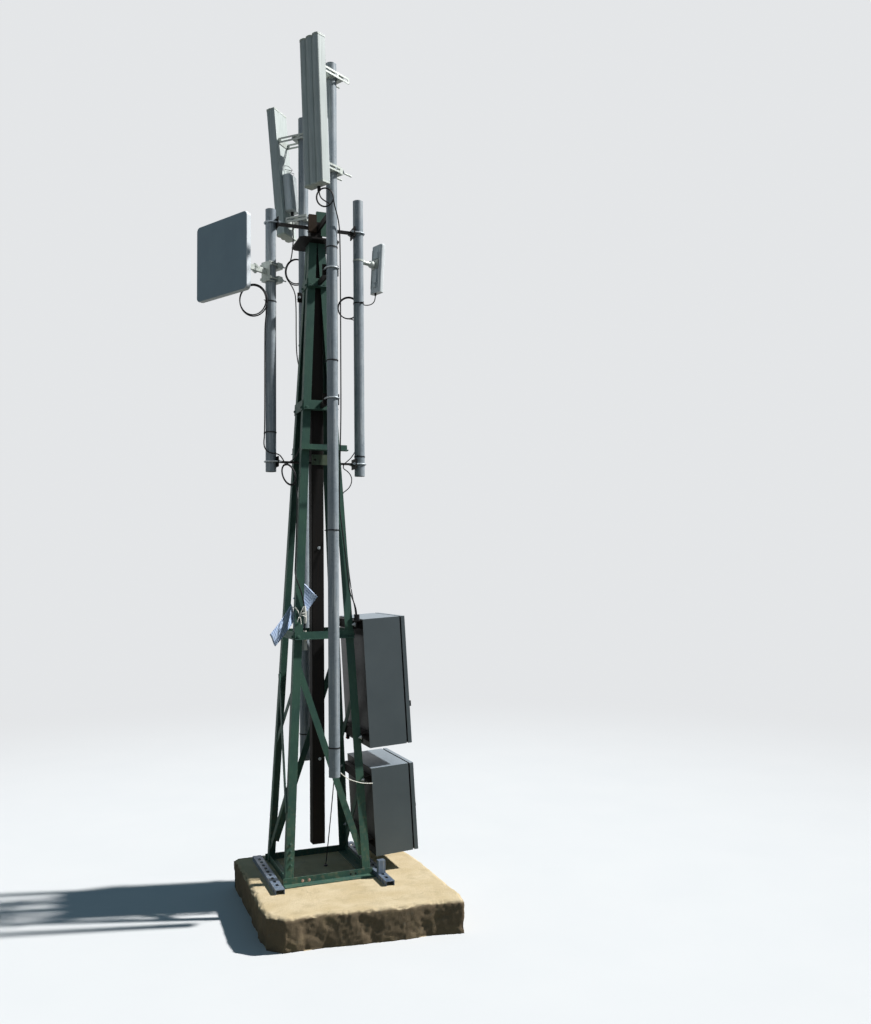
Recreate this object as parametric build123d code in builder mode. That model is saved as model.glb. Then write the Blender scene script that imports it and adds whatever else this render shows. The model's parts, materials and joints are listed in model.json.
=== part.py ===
"""Small hill-top cell tower: a tapered lattice mast on a cast pad, with four antenna poles and two cabinets.

Millimetres, +Z up. The origin is on the mast's axis at the underside of the pad. The front faces -Y and the
cabinets hang on the +X face. Heights named *_height are measured from the top of the pad.
"""

import os
from math import atan, atan2, cos, degrees, hypot, pi, radians, sin, tan

from build123d import *

os.makedirs("parts", exist_ok=True)

# Fits
seat_gap = 0.3
pin_clearance = 0.05
hole_clearance = 0.5

# Cast pad, as corner points of its broken outline
pad_thickness = 140
pad_outline = [
    (-345, 300), (-350, -120), (-362, -421), (-353, -535), (-289, -599), (-145, -601), (1, -627),
    (200, -652), (348, -660), (464, -688), (486, -604), (482, -431), (486, -116), (474, 60), (430, 300),
]
pad_edge_break = 12

# Lattice mast
leg_height = 3004
base_half = 200.5
top_half = 39.5
leg_flange = 38
leg_thickness = 4
rung_thickness = 4
rung_flange = 28
rung_levels = {"low": (1084, 36), "mid": (2169, 50)}
high_rung_drop = 227
high_rung_depth = 48
diagonal_width = 30
diagonal_thickness = 4
channel_drop = 194
channel_depth = 30
front_channel_span = (-95, 129)
rear_channel_span = (-123, 95)

# Base rails and the struts laid on the pad
rail_height = 30
rail_flange = 48
rail_thickness = 4
rail_overhang = 8
strut_width = 41
strut_depth = 21
strut_wall = 2.5
strut_slot = (28, 14)
strut_slot_pitch = 50
left_strut = (-266, -310, 225)
right_strut = (210, -392, 270)
strut_stub_height = 78
strut_stub_width = 28
strut_stub_inset = 4

# Central post and the head of the mast, with rises over the tops of the legs
post_size = 60
post_wall = 4
post_corner = 5
post_bottom_height = 115
post_rise = 110
head_plate_size = (198, 202, 8)
head_plate_clip = 20
head_block_size = (60, 16, 54)
head_block_left = 0
packing_size = (38, 22, 86)
packing_left = -43
packing_rise = 52
side_plate_size = (30, 5, 72)
side_plate_left = 21
side_plate_rise = 40
tie_plate_size = (78, 5, 50)
tie_plate_drop = 12
tie_plate_offset = 10
tie_hole_radius = 6
tie_hole_offset = -14

# Antenna poles, as place, bottom height and top height
pole_radius = 25.4
pole_wall = 3.2
side_pole_offset = 221
front_pole_place = (5, -290)
rear_pole_place = (0, 245)
left_pole_bottom_height = 1877
left_pole_rise = 152
right_pole_bottom_height = 1866
right_pole_rise = 253
front_pole_span = (477, 3779)
rear_pole_span = (456, 3760)

# Arms that carry the poles
low_arm_height = 1925
high_arm_rise = 86
side_arm_width = 30
side_arm_thickness = 8
stand_off_width = 10
stand_off_depth = 30
head_arm_rise = 56
end_plate_width = 78
end_plate_height = 50
end_plate_thickness = 5
u_bolt_rod = 4
u_bolt_tail = 14
nut_width = 13
nut_height = 6.5

# Sector antennas
sector_width = 118
sector_body_depth = 44
sector_ridge_rise = 8
sector_ridge_half = 17
sector_ridge_pitch = 41
sector_length = 672
sector_cap_depth = 8
sector_cap_overhang = 1.2
front_sector_heading = -120
front_sector_drop = 605
front_sector_standoff = (71, 99)
front_radio_size = (100, 14, 290)
front_radio_lift = 12
rear_sector_heading = -46
rear_sector_drop = 609
rear_sector_standoff = (78, 139)
rear_radio_size = (80, 46, 194)
rear_radio_lift = 122
radio_fin_gaps = 8
radio_fin_pitch = 9
radio_fin_gap = 5
radio_fin_depth = 16

# Sector brackets as lift over the antenna's foot, arm tail and bolt reach behind the pole
bracket_half = 45
bracket_sheet = 3
bracket_depth = 28
saddle_depth = 26
jaw_half = 40
jaw_notch = 12
long_bolt_offset = 32
long_bolt_radius = 4
front_brackets = ((538, 75, 88), (88, 20, 100))
rear_brackets = ((500, 45, 82), (68, 45, 82))

# Flat panel antenna on the left pole
panel_size = 371
panel_depth = 25
panel_corner = 22
panel_heading = -120
panel_standoff = 175
panel_side_shift = 127
panel_centre_drop = 192
panel_clamp_drop = 246
panel_edge_radius = 5
panel_clamp_span = 96
panel_clamp_half = 29
panel_clamp_sheet = 3
panel_web_gap = 5
panel_jaw_depth = 30
panel_jaw_reach = 16
panel_bolt_offset = 33
panel_bolt_radius = 3
panel_bolt_tail = 26
panel_arm_size = (18, 24)
panel_rail_size = (240, 10, 56)
panel_rail_shift = 75

# Small radio on the right pole
radio_size = (80, 31, 252)
radio_corner = 12
radio_heading = 70
radio_standoff = 100
radio_drop = 280
radio_edge_radius = 6
radio_lean = 4
ball_joint_drop = 138
ball_radius = 19
ball_stem_radius = 11
joint_pad_half = 27
joint_pad_depth = 6
joint_pad_rise = 8
band_height = 9
band_thickness = 1.5

# Cabinets on the right face
cabinet_width = 400
cabinet_wall = 2
cabinet_body_depth = 182
cabinet_lip = 16
door_gap = 8
door_depth = 18
door_lip = 24
gasket_inset = 6
gasket_width = 12
gasket_clearance = 1
cabinet_standoff = 32
upper_cabinet = (573, 600)
lower_cabinet = (76, 404)
cabinet_rail_depth = 40
cabinet_rail_wall = 3
cabinet_rail_length = 380
upper_rail_lifts = (50, 575)
lower_rail_lifts = (60, 350)
plate_thickness = 2.5
plate_margin = 32
plate_spacer = 20
plate_spacer_radius = 6
hinge_radius = 6
hinge_pin_radius = 3
hinge_offset = 9
hinge_leaf = 36
hinge_leaf_thickness = 4
hinge_knuckle = 20
hinge_split = 1
hinge_inset = 80
lock_radius = 14
lock_depth = 7
lock_inset = 30
upper_lock_lift = 180
lower_lock_lift = 202
lock_wing = (9, 26, 9)

# Captive cables: radii, and how much of the shorter run a bend may take
lead_radius = 3
thin_lead_radius = 2.5
jumper_radius = 2
bend_share = 0.45
coil_facing = (0.37, 0.93, 0)
coil_across = (0.93, -0.37, 0)

# Glands as radius and length, and the places of those on the antennas
gland_size = (8, 24)
short_gland_size = (8, 20)
radio_gland_size = (5, 14)
rail_gland_size = (8, 28)
rail_gland_places = {"spare": -178, "front": -160, "radio": -142}
panel_gland_shift = 59
panel_gland_drop = 107
front_gland_place = (0, 11)
radio_gland_place = (0, 8)
tail_run = 25

# Routes as offsets from the pole's axis at the height of the antenna's foot or of the low arm
panel_tail = ((1, 2, -22), (15, 15, -39), (36, 27, -41), (53, 32.5, -31.5))
panel_coil = ((-87, -12, -199), 71, 7)
panel_drop_top = ((-25, -37, -206), (-26.5, -31, -253), (-29.5, -15, -300), (-29.8, -3, -353))
panel_drop_foot = (
    (-29.6, -2.6, 135), (-37, -8, 85), (-31, -24, 53), (-11, -39, 37), (16, -47, 35), (41, -44, 25), (61, -30, -9),
)
hank_centre = (79, -34, -63)
hank_outside = (122, 76)
hank_section = 16
hank_turn = 70
front_coil = ((-46, -51, -60), 40, 6)
front_drop_top = (
    (-8.8, -65.8, -60), (-4, -62, -92), (9, -51, -124), (25, -32, -159), (35.8, -14.2, -214), (36.3, -14.6, -560),
)
front_drop_foot = ((35.8, -14.2, 2260), (41, 5, 2160))
rear_tail = ((-45, 45, 44), (-42, 46, -16), (-36, 48, -76), (-28, 50, -131))
rear_coil = ((-27, 50, -191), 62, 7)
rear_drop_top = (
    (-28, 50, -253), (-31, 46, -285), (-36, 30, -322), (-38.6, 10, -366), (-38.4, 4, -420), (-38.9, 4.5, -591),
    (-36, -10, -671), (-33, -55, -731), (-31, -115, -791), (-31, -160, -841), (-40, -200, -891),
)
rear_drop_foot = ((175, 5, 280), (165, -18, 195), (143, -30, 95), (119, -33, 30), (91, -31, 1), (65, -29, -13))
radio_tail = ((99.5, 37, -40), (82, 41, -61), (51, 44, -68), (24, 41, -62), (3, 35.5, -54))
radio_coil = ((-37, 51, -88), 55, 5.5)
radio_drop_top = ((2, 35.4, -122), (1, 31, -160), (0, 29.3, -210))
radio_drop_foot = (
    (0, 29.6, 395), (0, 29.3, 125), (-9, 32, 75), (-33, 28, 37), (-56, 26, 17), (-75, 24, 1), (-81, 14, -21),
    (-63, 2, -34), (-45, -3, -56), (-41, -4, -84), (-51, -4, -112), (-71, -6, -131), (-93, -12, -145),
)

# Runs beside a front leg as distance outside its side face, outside its front face, and height
hank_to_leg = ((109, -46, -80), (109, -66, -115))
left_leg_run = (
    (5.8, -19.2, 1740), (5.1, -15.9, 1430), (9, -1.5, 1390), (-0.9, 9.1, 1355), (-24.8, 8.2, 1300),
    (-41.3, 7.7, 1235), (-48.3, 0.7, 1180), (-50.1, -12.1, 1145),
)
front_leg_run = (
    (-33.3, 155.7, 2075), (-27.8, 106.2, 1990), (-23.7, 61.3, 1900), (-23.5, 32.5, 1810), (-26.3, 9.7, 1720),
    (-23.5, 6, 1660), (-16.9, 5.1, 1560), (-11.3, 6.2, 1460), (-8.5, 6.5, 1380), (-5.8, 6.7, 1300), (5.1, 17.1, 1262),
)
radio_leg_run = ((9.7, -78.3, 1720), (7.3, -53.7, 1620), (6.9, -35.1, 1500), (6.5, -21.5, 1380), (10.1, -6.9, 1280))
taped_joint_place = (-89, -125)
taped_joint_span = (1035, 1122)
taped_joint_radii = (12, 7)
earth_points = ((38, -165.3, 448), (41, -82, 222), (40, 0, 6))
earth_clamp_size = (9, 6)
jumper_points = ((34.5, -284, 492), (62, -272, 464), (115, -240, 437), (165, -214, 417), (212, -202.3, 412))

# Worked-out values
pad_top = pad_thickness
channel_height = rung_levels["mid"][0] - channel_drop
tie_plate_height = low_arm_height - tie_plate_drop
post_top_height = leg_height + post_rise
high_arm_height = leg_height + high_arm_rise
side_arm_heights = (low_arm_height, high_arm_height)
rung_levels["high"] = (leg_height - high_rung_drop, high_rung_depth)
left_pole_span = (left_pole_bottom_height, leg_height + left_pole_rise)
right_pole_span = (right_pole_bottom_height, leg_height + right_pole_rise)
panel_centre_height = high_arm_height - panel_centre_drop
panel_clamp_height = high_arm_height - panel_clamp_drop
radio_bottom_height = high_arm_height - radio_drop
ball_joint_height = high_arm_height - ball_joint_drop
head_arm_height = leg_height + head_arm_rise
front_sector_bottom = front_pole_span[1] - front_sector_drop
rear_sector_bottom = rear_pole_span[1] - rear_sector_drop
lean = atan((base_half - top_half) / leg_height)
lean_cos = cos(lean)
sides = {"front": -90, "right": 0, "rear": 90, "left": 180}
sector_tilt = {
    "front": atan((front_sector_standoff[1] - front_sector_standoff[0]) / sector_length),
    "rear": atan((rear_sector_standoff[1] - rear_sector_standoff[0]) / sector_length),
}


def half_width(height):
    """Distance from the mast's axis to a leg's outer face at a height over the pad."""
    return base_half - (base_half - top_half) * height / leg_height


def heading(azimuth):
    """Level unit vector at an angle from +Y, turning towards +X."""
    return Vector(sin(radians(azimuth)), cos(radians(azimuth)), 0)


def facing_plane(point, azimuth, tilt=0.0):
    """Plane at a point with local y along the heading, local x to its right seen from above, z up."""
    ahead = heading(azimuth)
    across = Vector(ahead.Y, -ahead.X, 0)
    up = ahead * sin(tilt) + Vector(0, 0, cos(tilt))
    return Plane(origin=point, x_dir=across, z_dir=up)


def side_vectors(side):
    """Outward level vector, the run along the face, and the face's own upward vector."""
    angle = radians(sides[side])
    out = Vector(cos(angle), sin(angle), 0)
    along = Vector(-out.Y, out.X, 0)
    up = Vector(-out.X * sin(lean), -out.Y * sin(lean), cos(lean))
    return out, along, up


def section_plane(side, height):
    """Cross-section plane of a rung: x points out of the leaning face, y up along it."""
    out, along, up = side_vectors(side)
    origin = out * half_width(height) + Vector(0, 0, pad_top + height)
    normal = out * cos(lean) + Vector(0, 0, sin(lean))
    return Plane(origin=origin, x_dir=normal, z_dir=along * -1)


def face_plane(side):
    """Plane of a leaning face: x along the face, y up it from the pad's top, normal outward."""
    out, along, up = side_vectors(side)
    origin = out * base_half + Vector(0, 0, pad_top)
    return Plane(origin=origin, x_dir=along, z_dir=out * cos(lean) + Vector(0, 0, sin(lean)))


def block(x_span, y_span, z_span, mode=Mode.ADD):
    """Box between low and high corners in the current workplane."""
    centre = [(span[0] + span[1]) / 2 for span in (x_span, y_span, z_span)]
    sizes = [span[1] - span[0] for span in (x_span, y_span, z_span)]
    with Locations(tuple(centre)):
        Box(*sizes, mode=mode)


def angle_outline(start, run, rise, thickness):
    """L outline with its heel at start, one leg along run and one along rise."""
    run_step = thickness if run > 0 else -thickness
    rise_step = thickness if rise > 0 else -thickness
    x, y = start
    Polyline(
        (x, y), (x + run, y), (x + run, y + rise_step), (x + run_step, y + rise_step),
        (x + run_step, y + rise), (x, y + rise), close=True,
    )


def save(piece, name):
    """Label a finished piece and write it."""
    piece.part.label = name
    export_step(piece.part, f"parts/{name}.step")


# Cast pad with a broken upper edge
with BuildPart() as concrete_pad:
    with BuildSketch():
        with BuildLine():
            Polyline(*pad_outline, close=True)
        make_face()
    extrude(amount=pad_thickness)
    chamfer(concrete_pad.faces().sort_by(Axis.Z)[-1].edges(), pad_edge_break)
save(concrete_pad, "concrete_pad")


def strut(x_low, y_low, y_high):
    """Slotted channel laid on its open side."""
    x_high = x_low + strut_width
    wall = strut_wall
    block((x_low, x_high), (y_low, y_high), (pad_top, pad_top + strut_depth))
    block(
        (x_low + wall, x_high - wall), (y_low, y_high), (pad_top, pad_top + strut_depth - wall),
        mode=Mode.SUBTRACT,
    )
    count = int((y_high - y_low - strut_slot_pitch) // strut_slot_pitch)
    middle = ((x_low + x_high) / 2, (y_low + y_high) / 2)
    with BuildSketch(Plane.XY.offset(pad_top + strut_depth)) as slots:
        with Locations(middle):
            with GridLocations(1, strut_slot_pitch, 1, count):
                SlotOverall(strut_slot[0], strut_slot[1], rotation=90)
    extrude(slots.sketch, amount=-wall, mode=Mode.SUBTRACT)


with BuildPart() as ground_struts:
    strut(*left_strut)
    strut(*right_strut)
    stub_x = (right_strut[0] + strut_stub_inset, right_strut[0] + strut_width - strut_stub_inset)
    stub_near = base_half + rail_flange + 2 * seat_gap
    stub_y = (-stub_near - strut_stub_width, -stub_near)
    block(stub_x, stub_y, (pad_top + strut_depth, pad_top + strut_stub_height))
save(ground_struts, "ground_struts")

# Base rails: front and rear outside the legs, side rails inside them
with BuildPart() as base_frame:
    for outward in (-1, 1):
        heel = (outward * (base_half + seat_gap), pad_top)
        with BuildSketch(Plane.YZ.offset(-base_half - rail_overhang)):
            with BuildLine():
                angle_outline(heel, outward * rail_flange, rail_height, rail_thickness)
            make_face()
        extrude(amount=2 * (base_half + rail_overhang))
    side_reach = half_width(rail_height) - leg_thickness - seat_gap
    for outward in (-1, 1):
        heel = (outward * side_reach, pad_top)
        with BuildSketch(Plane.XZ.offset(-side_reach)):
            with BuildLine():
                angle_outline(heel, -outward * leg_flange, rail_height, rail_thickness)
            make_face()
        extrude(amount=2 * side_reach)
save(base_frame, "base_frame")


def leg(x_sign, y_sign):
    """Leaning angle-section leg with its heel on the outer corner of the mast."""
    corner = (x_sign * base_half, y_sign * base_half)
    slope = tan(lean)
    direction = Vector(-x_sign * slope, -y_sign * slope, 1)
    with BuildSketch(Plane.XY.offset(pad_top)) as profile:
        with BuildLine():
            angle_outline(corner, -x_sign * leg_flange, -y_sign * leg_flange, leg_thickness)
        make_face()
    extrude(profile.sketch, amount=leg_height * direction.length, dir=direction.normalized())


leg_signs = {"front_left": (-1, -1), "front_right": (1, -1), "rear_left": (-1, 1), "rear_right": (1, 1)}
for leg_name, signs in leg_signs.items():
    with BuildPart() as mast_leg:
        leg(*signs)
    save(mast_leg, f"leg_{leg_name}")


def rung(side, height, depth, span=None, flanged=True):
    """Bar bolted over the legs on one face, with a foot flange pointing outward where flanged."""
    width = half_width(height + depth)
    low, high = span if span else (-width, width)
    plane = section_plane(side, height)
    outline_run = rung_flange if flanged else rung_thickness
    with BuildSketch(plane.offset(-high)) as profile:
        with BuildLine():
            if flanged:
                angle_outline((seat_gap, 0), outline_run, depth, rung_thickness)
            else:
                Polyline(
                    (seat_gap, 0), (seat_gap + rung_thickness, 0),
                    (seat_gap + rung_thickness, depth), (seat_gap, depth), close=True,
                )
        make_face()
    extrude(profile.sketch, amount=high - low)


def diagonal(side, foot, head, outside=False):
    """Flat brace on the legs of one face, between two points given as (along the face, height)."""
    (x_foot, z_foot), (x_head, z_head) = foot, head
    rise = (z_head - z_foot) / lean_cos
    run = x_head - x_foot
    centre = ((x_foot + x_head) / 2, (z_foot + z_head) / 2 / lean_cos)
    offset = seat_gap if outside else -leg_thickness - seat_gap
    with BuildSketch(face_plane(side).offset(offset)) as brace:
        with Locations(centre):
            Rectangle(hypot(run, rise), diagonal_width, rotation=degrees(atan2(rise, run)))
    extrude(brace.sketch, amount=diagonal_thickness if outside else -diagonal_thickness)


diagonals = {
    "front": [((160, 90), (-127, 965))],
    "rear": [((160, 90), (-127, 965))],
    "left": [((-165, 70), (158, 440)), ((-148, 572), (132, 852)), ((163, 310), (-130, 905), True)],
    "right": [((165, 70), (-158, 440)), ((148, 572), (-132, 852))],
}
for side_name in sides:
    flanged = side_name in ("front", "rear")
    with BuildPart() as bracing:
        for rung_height, rung_depth in rung_levels.values():
            rung(side_name, rung_height, rung_depth, flanged=flanged)
        for brace_line in diagonals[side_name]:
            diagonal(side_name, *brace_line)
    save(bracing, f"{side_name}_bracing")

with BuildPart() as cable_channels:
    rung("front", channel_height, channel_depth, span=front_channel_span)
    rung("rear", channel_height, channel_depth, span=rear_channel_span)
save(cable_channels, "cable_channels")

# Central post, hung through the head plate
with BuildPart() as central_post:
    half = post_size / 2
    inner = half - post_wall
    z_post = (pad_top + post_bottom_height, pad_top + post_top_height)
    block((-half, half), (-half, half), z_post)
    block((-inner, inner), (-inner, inner), z_post, mode=Mode.SUBTRACT)
    fillet(central_post.edges().filter_by(Axis.Z).group_by(SortBy.DISTANCE)[-1], post_corner)
save(central_post, "central_post")

with BuildPart() as head_plate:
    with BuildSketch(Plane.XY.offset(pad_top + leg_height)):
        plate = Rectangle(head_plate_size[0], head_plate_size[1])
        chamfer(plate.vertices(), head_plate_clip)
        Rectangle(post_size + 2 * seat_gap, post_size + 2 * seat_gap, mode=Mode.SUBTRACT)
    extrude(amount=head_plate_size[2])
save(head_plate, "head_plate")

with BuildPart() as head_cap:
    cap_bottom = pad_top + post_top_height
    cap_front = -post_size / 2
    block(
        (head_block_left, head_block_left + head_block_size[0]), (cap_front, cap_front + head_block_size[1]),
        (cap_bottom, cap_bottom + head_block_size[2]),
    )
save(head_cap, "head_cap")


def front_piece(left, size, bottom):
    """Block against the post's front face, from its left edge and lower edge."""
    block(
        (left, left + size[0]), (-post_size / 2 - size[1], -post_size / 2),
        (pad_top + bottom, pad_top + bottom + size[2]),
    )


with BuildPart() as packing_block:
    front_piece(packing_left, packing_size, leg_height + packing_rise)
save(packing_block, "packing_block")

with BuildPart() as side_plate:
    front_piece(side_plate_left, side_plate_size, leg_height + side_plate_rise)
save(side_plate, "side_plate")

with BuildPart() as tie_plate:
    front_piece(tie_plate_offset - tie_plate_size[0] / 2, tie_plate_size, tie_plate_height)
    with BuildSketch(Plane.XZ.offset(post_size / 2)):
        with Locations((tie_hole_offset, pad_top + tie_plate_height + tie_plate_size[2] / 2)):
            Circle(tie_hole_radius)
    extrude(amount=tie_plate_size[1], mode=Mode.SUBTRACT)
save(tie_plate, "tie_plate")


def pole(place, span):
    """Open-ended tube standing at a place."""
    with BuildSketch(Plane.XY.offset(pad_top + span[0])) as ring:
        with Locations(place):
            Circle(pole_radius)
            Circle(pole_radius - pole_wall, mode=Mode.SUBTRACT)
    extrude(ring.sketch, amount=span[1] - span[0])


poles = {
    "left": ((-side_pole_offset, 0), left_pole_span),
    "right": ((side_pole_offset, 0), right_pole_span),
    "front": (front_pole_place, front_pole_span),
    "rear": (rear_pole_place, rear_pole_span),
}
for pole_name, (place, span) in poles.items():
    with BuildPart() as antenna_pole:
        pole(place, span)
    save(antenna_pole, f"{pole_name}_pole")

u_bolt_spread = pole_radius + seat_gap + u_bolt_rod
plate_near = pole_radius + seat_gap
plate_far = plate_near + end_plate_thickness


def end_plate(plane):
    """Clamp plate beside a pole: the pole's axis is the plane's z, the plate lies on its +x side."""
    with BuildSketch(Plane(plane.location * Location((plate_near, 0, 0), (0, 90, 0)))) as plate_face:
        Rectangle(end_plate_height, end_plate_width)
        with GridLocations(1, 2 * u_bolt_spread, 1, 2):
            Circle(u_bolt_rod + hole_clearance, mode=Mode.SUBTRACT)
    extrude(plate_face.sketch, amount=end_plate_thickness)


def u_bolt(plane):
    """U-bolt round a pole on the plane's z axis, with its threaded ends and nuts on the +x side."""
    tail = plate_far + u_bolt_tail
    with BuildLine(plane) as bend:
        Line((tail, -u_bolt_spread), (0, -u_bolt_spread))
        ThreePointArc((0, -u_bolt_spread), (-u_bolt_spread, 0), (0, u_bolt_spread))
        Line((0, u_bolt_spread), (tail, u_bolt_spread))
    with BuildSketch(Plane(origin=bend.line @ 0, z_dir=bend.line % 0)) as rod:
        Circle(u_bolt_rod)
    sweep(rod.sketch, path=bend.line)
    for y_nut in (-u_bolt_spread, u_bolt_spread):
        nut_place = plane.location * Location((plate_far + seat_gap, y_nut, 0), (0, 90, 0))
        with BuildSketch(Plane(nut_place)) as nut:
            RegularPolygon(nut_width / 2, 6, major_radius=False)
        extrude(nut.sketch, amount=nut_height)


def clamp_plane(place, height, toward):
    """Plane on a pole's axis whose x points toward the mast."""
    return Plane(origin=(place[0], place[1], pad_top + height), x_dir=toward, z_dir=(0, 0, 1))


with BuildPart() as cross_arms:
    for x_sign in (-1, 1):
        for arm_height in side_arm_heights:
            arm_end = side_pole_offset - plate_far
            x_arm = sorted((x_sign * post_size / 2, x_sign * arm_end))
            z_arm = pad_top + arm_height
            block(
                x_arm, (-side_arm_width / 2, side_arm_width / 2),
                (z_arm - side_arm_thickness / 2, z_arm + side_arm_thickness / 2),
            )
            end_plate(clamp_plane((x_sign * side_pole_offset, 0), arm_height, (-x_sign, 0, 0)))
save(cross_arms, "cross_arms")


def stand_off(place, height, y_sign):
    """Bar from a rung to the clamp plate of the front or rear pole."""
    low = height
    high = height + stand_off_depth
    outer = (seat_gap + rung_thickness) / lean_cos
    tip = y_sign * (abs(place[1]) - plate_far)
    with BuildSketch(Plane.YZ.offset(place[0] - stand_off_width / 2)) as bar:
        with BuildLine():
            Polyline(
                (y_sign * (half_width(low) + outer), pad_top + low), (tip, pad_top + low),
                (tip, pad_top + high), (y_sign * (half_width(high) + outer), pad_top + high), close=True,
            )
        make_face()
    extrude(bar.sketch, amount=stand_off_width)
    middle = (low + high) / 2
    end_plate(clamp_plane(place, middle, (0, -y_sign, 0)))


stand_off_heights = [rung_levels[name][0] + 10 for name in ("mid", "high")]
with BuildPart() as stand_off_arms:
    for arm_height in stand_off_heights:
        stand_off(front_pole_place, arm_height, -1)
        stand_off(rear_pole_place, arm_height, 1)
    x_head = (front_pole_place[0] - stand_off_width / 2, front_pole_place[0] + stand_off_width / 2)
    block(
        x_head, (front_pole_place[1] + plate_near, -post_size / 2),
        (pad_top + head_arm_height, pad_top + head_arm_height + stand_off_depth),
    )
save(stand_off_arms, "stand_off_arms")

with BuildPart() as u_bolts:
    for x_sign in (-1, 1):
        for arm_height in side_arm_heights:
            u_bolt(clamp_plane((x_sign * side_pole_offset, 0), arm_height, (-x_sign, 0, 0)))
    for arm_height in stand_off_heights:
        bolt_height = arm_height + stand_off_depth / 2
        u_bolt(clamp_plane(front_pole_place, bolt_height, (0, 1, 0)))
        u_bolt(clamp_plane(rear_pole_place, bolt_height, (0, -1, 0)))
save(u_bolts, "u_bolts")


def sector_outline(grow=0.0):
    """Cross-section of a sector antenna: flat back at y = 0, three rounded ridges on the face."""
    with Locations((0, sector_body_depth / 2)):
        Rectangle(sector_width + 2 * grow, sector_body_depth + 2 * grow)
    for step in (-1, 0, 1):
        with Locations((step * sector_ridge_pitch, sector_body_depth)):
            Ellipse(sector_ridge_half + grow, sector_ridge_rise + grow)


def sector_plane(place, azimuth, bottom, standoff, tilt):
    """Plane at the foot of a sector antenna's back, y along its facing, z up its length."""
    ahead = heading(azimuth)
    foot = Vector(place[0], place[1], pad_top + bottom) + ahead * standoff[0]
    return facing_plane(foot, azimuth, tilt)


front_sector = sector_plane(
    front_pole_place, front_sector_heading, front_sector_bottom, front_sector_standoff, sector_tilt["front"]
)
rear_sector = sector_plane(
    rear_pole_place, rear_sector_heading, rear_sector_bottom, rear_sector_standoff, sector_tilt["rear"]
)
for sector_name, plane in (("front", front_sector), ("rear", rear_sector)):
    with BuildPart() as radome:
        with BuildSketch(plane):
            sector_outline()
        extrude(amount=sector_length)
    save(radome, f"{sector_name}_sector_radome")
    with BuildPart() as end_caps:
        with BuildSketch(plane):
            sector_outline(sector_cap_overhang)
        extrude(amount=-sector_cap_depth)
        with BuildSketch(plane.offset(sector_length)):
            sector_outline(sector_cap_overhang)
        extrude(amount=sector_cap_depth)
    save(end_caps, f"{sector_name}_sector_caps")


def sector_radio(plane, size, lift):
    """Radio housing on the back of a sector antenna."""
    width, depth, height = size
    with BuildSketch(plane.offset(lift)) as housing:
        with Locations((0, -depth / 2)):
            RectangleRounded(width, depth, min(width, depth) / 4)
    extrude(housing.sketch, amount=height)


with BuildPart() as front_sector_radio:
    sector_radio(front_sector, front_radio_size, front_radio_lift)
save(front_sector_radio, "front_sector_radio")

with BuildPart() as rear_sector_radio:
    sector_radio(rear_sector, rear_radio_size, rear_radio_lift)
    with BuildSketch(rear_sector.offset(rear_radio_lift)):
        with Locations((0, radio_fin_depth / 2 - rear_radio_size[1])):
            with GridLocations(radio_fin_pitch, 1, radio_fin_gaps, 1):
                Rectangle(radio_fin_gap, radio_fin_depth)
    extrude(amount=rear_radio_size[2], mode=Mode.SUBTRACT)
save(rear_sector_radio, "rear_sector_radio")


def back_distance(height, bottom, standoff, tilt):
    """Level distance from the pole's axis to a sector's back at a height."""
    return standoff[0] + (height - bottom) * tan(tilt)


def saddle(y_near, y_far):
    """Grooved block across the bracket, cut by the pole."""
    half = bracket_depth / 2
    block((-jaw_half, jaw_half), (y_near, y_far), (-half, half))
    Cylinder(pole_radius + seat_gap, bracket_depth, mode=Mode.SUBTRACT)


def bracket_frame(plane, reach, tail):
    """Side arms joined by a back plate and by a saddle on the antenna's side of the pole."""
    half = bracket_depth / 2
    with BuildPart(plane) as frame:
        saddle(saddle_depth - jaw_notch, saddle_depth + jaw_notch)
        with BuildSketch(plane.offset(-half)):
            for x_sign in (-1, 1):
                with Locations((x_sign * (bracket_half - bracket_sheet / 2), (reach - tail) / 2)):
                    Rectangle(bracket_sheet, reach + tail)
            with Locations((0, reach - bracket_sheet / 2)):
                Rectangle(2 * bracket_half, bracket_sheet)
            with Locations((0, saddle_depth + jaw_notch - bracket_sheet / 2)):
                Rectangle(2 * bracket_half, bracket_sheet)
        extrude(amount=bracket_depth)
        long_bolt_holes(plane)
    return frame


def long_bolt_holes(plane):
    """Clearance holes for the two long bolts of a bracket."""
    with BuildSketch(Plane(plane.location * Location((0, 0, 0), (90, 0, 0)))) as holes:
        with GridLocations(2 * long_bolt_offset, 1, 2, 1):
            Circle(long_bolt_radius + hole_clearance)
    extrude(holes.sketch, amount=saddle_depth + 2 * jaw_notch, both=True, mode=Mode.SUBTRACT)


def jaw_and_bolts(plane, bolt_reach):
    """Rear jaw with its two long bolts, which pass beside the pole and through the saddle."""
    with BuildPart(plane) as jaw:
        saddle(-saddle_depth - jaw_notch, -saddle_depth + jaw_notch)
        bolt_front = saddle_depth + jaw_notch + nut_height
        with BuildSketch(Plane(plane.location * Location((0, bolt_front, 0), (90, 0, 0)))):
            with GridLocations(2 * long_bolt_offset, 1, 2, 1):
                Circle(long_bolt_radius)
        extrude(amount=bolt_front + bolt_reach)
    return jaw


def bracket_set(place, azimuth, brackets, bottom, standoff, tilt, packing):
    """Frames and jaws of the two brackets between a pole and its sector antenna."""
    pieces = []
    for lift, tail, bolt_reach in brackets:
        height = bottom + lift
        origin = (place[0], place[1], pad_top + height)
        plane = facing_plane(origin, azimuth)
        lower_edge = height - bracket_depth / 2
        on_radio = packing and lift < packing[1] + packing[2]
        cover = packing[0] if on_radio else 0
        reach = back_distance(lower_edge, bottom, standoff, tilt) - cover / cos(tilt) - seat_gap
        pieces.append(bracket_frame(plane, reach, tail).part)
        pieces.append(jaw_and_bolts(plane, bolt_reach).part)
    return pieces


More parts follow.
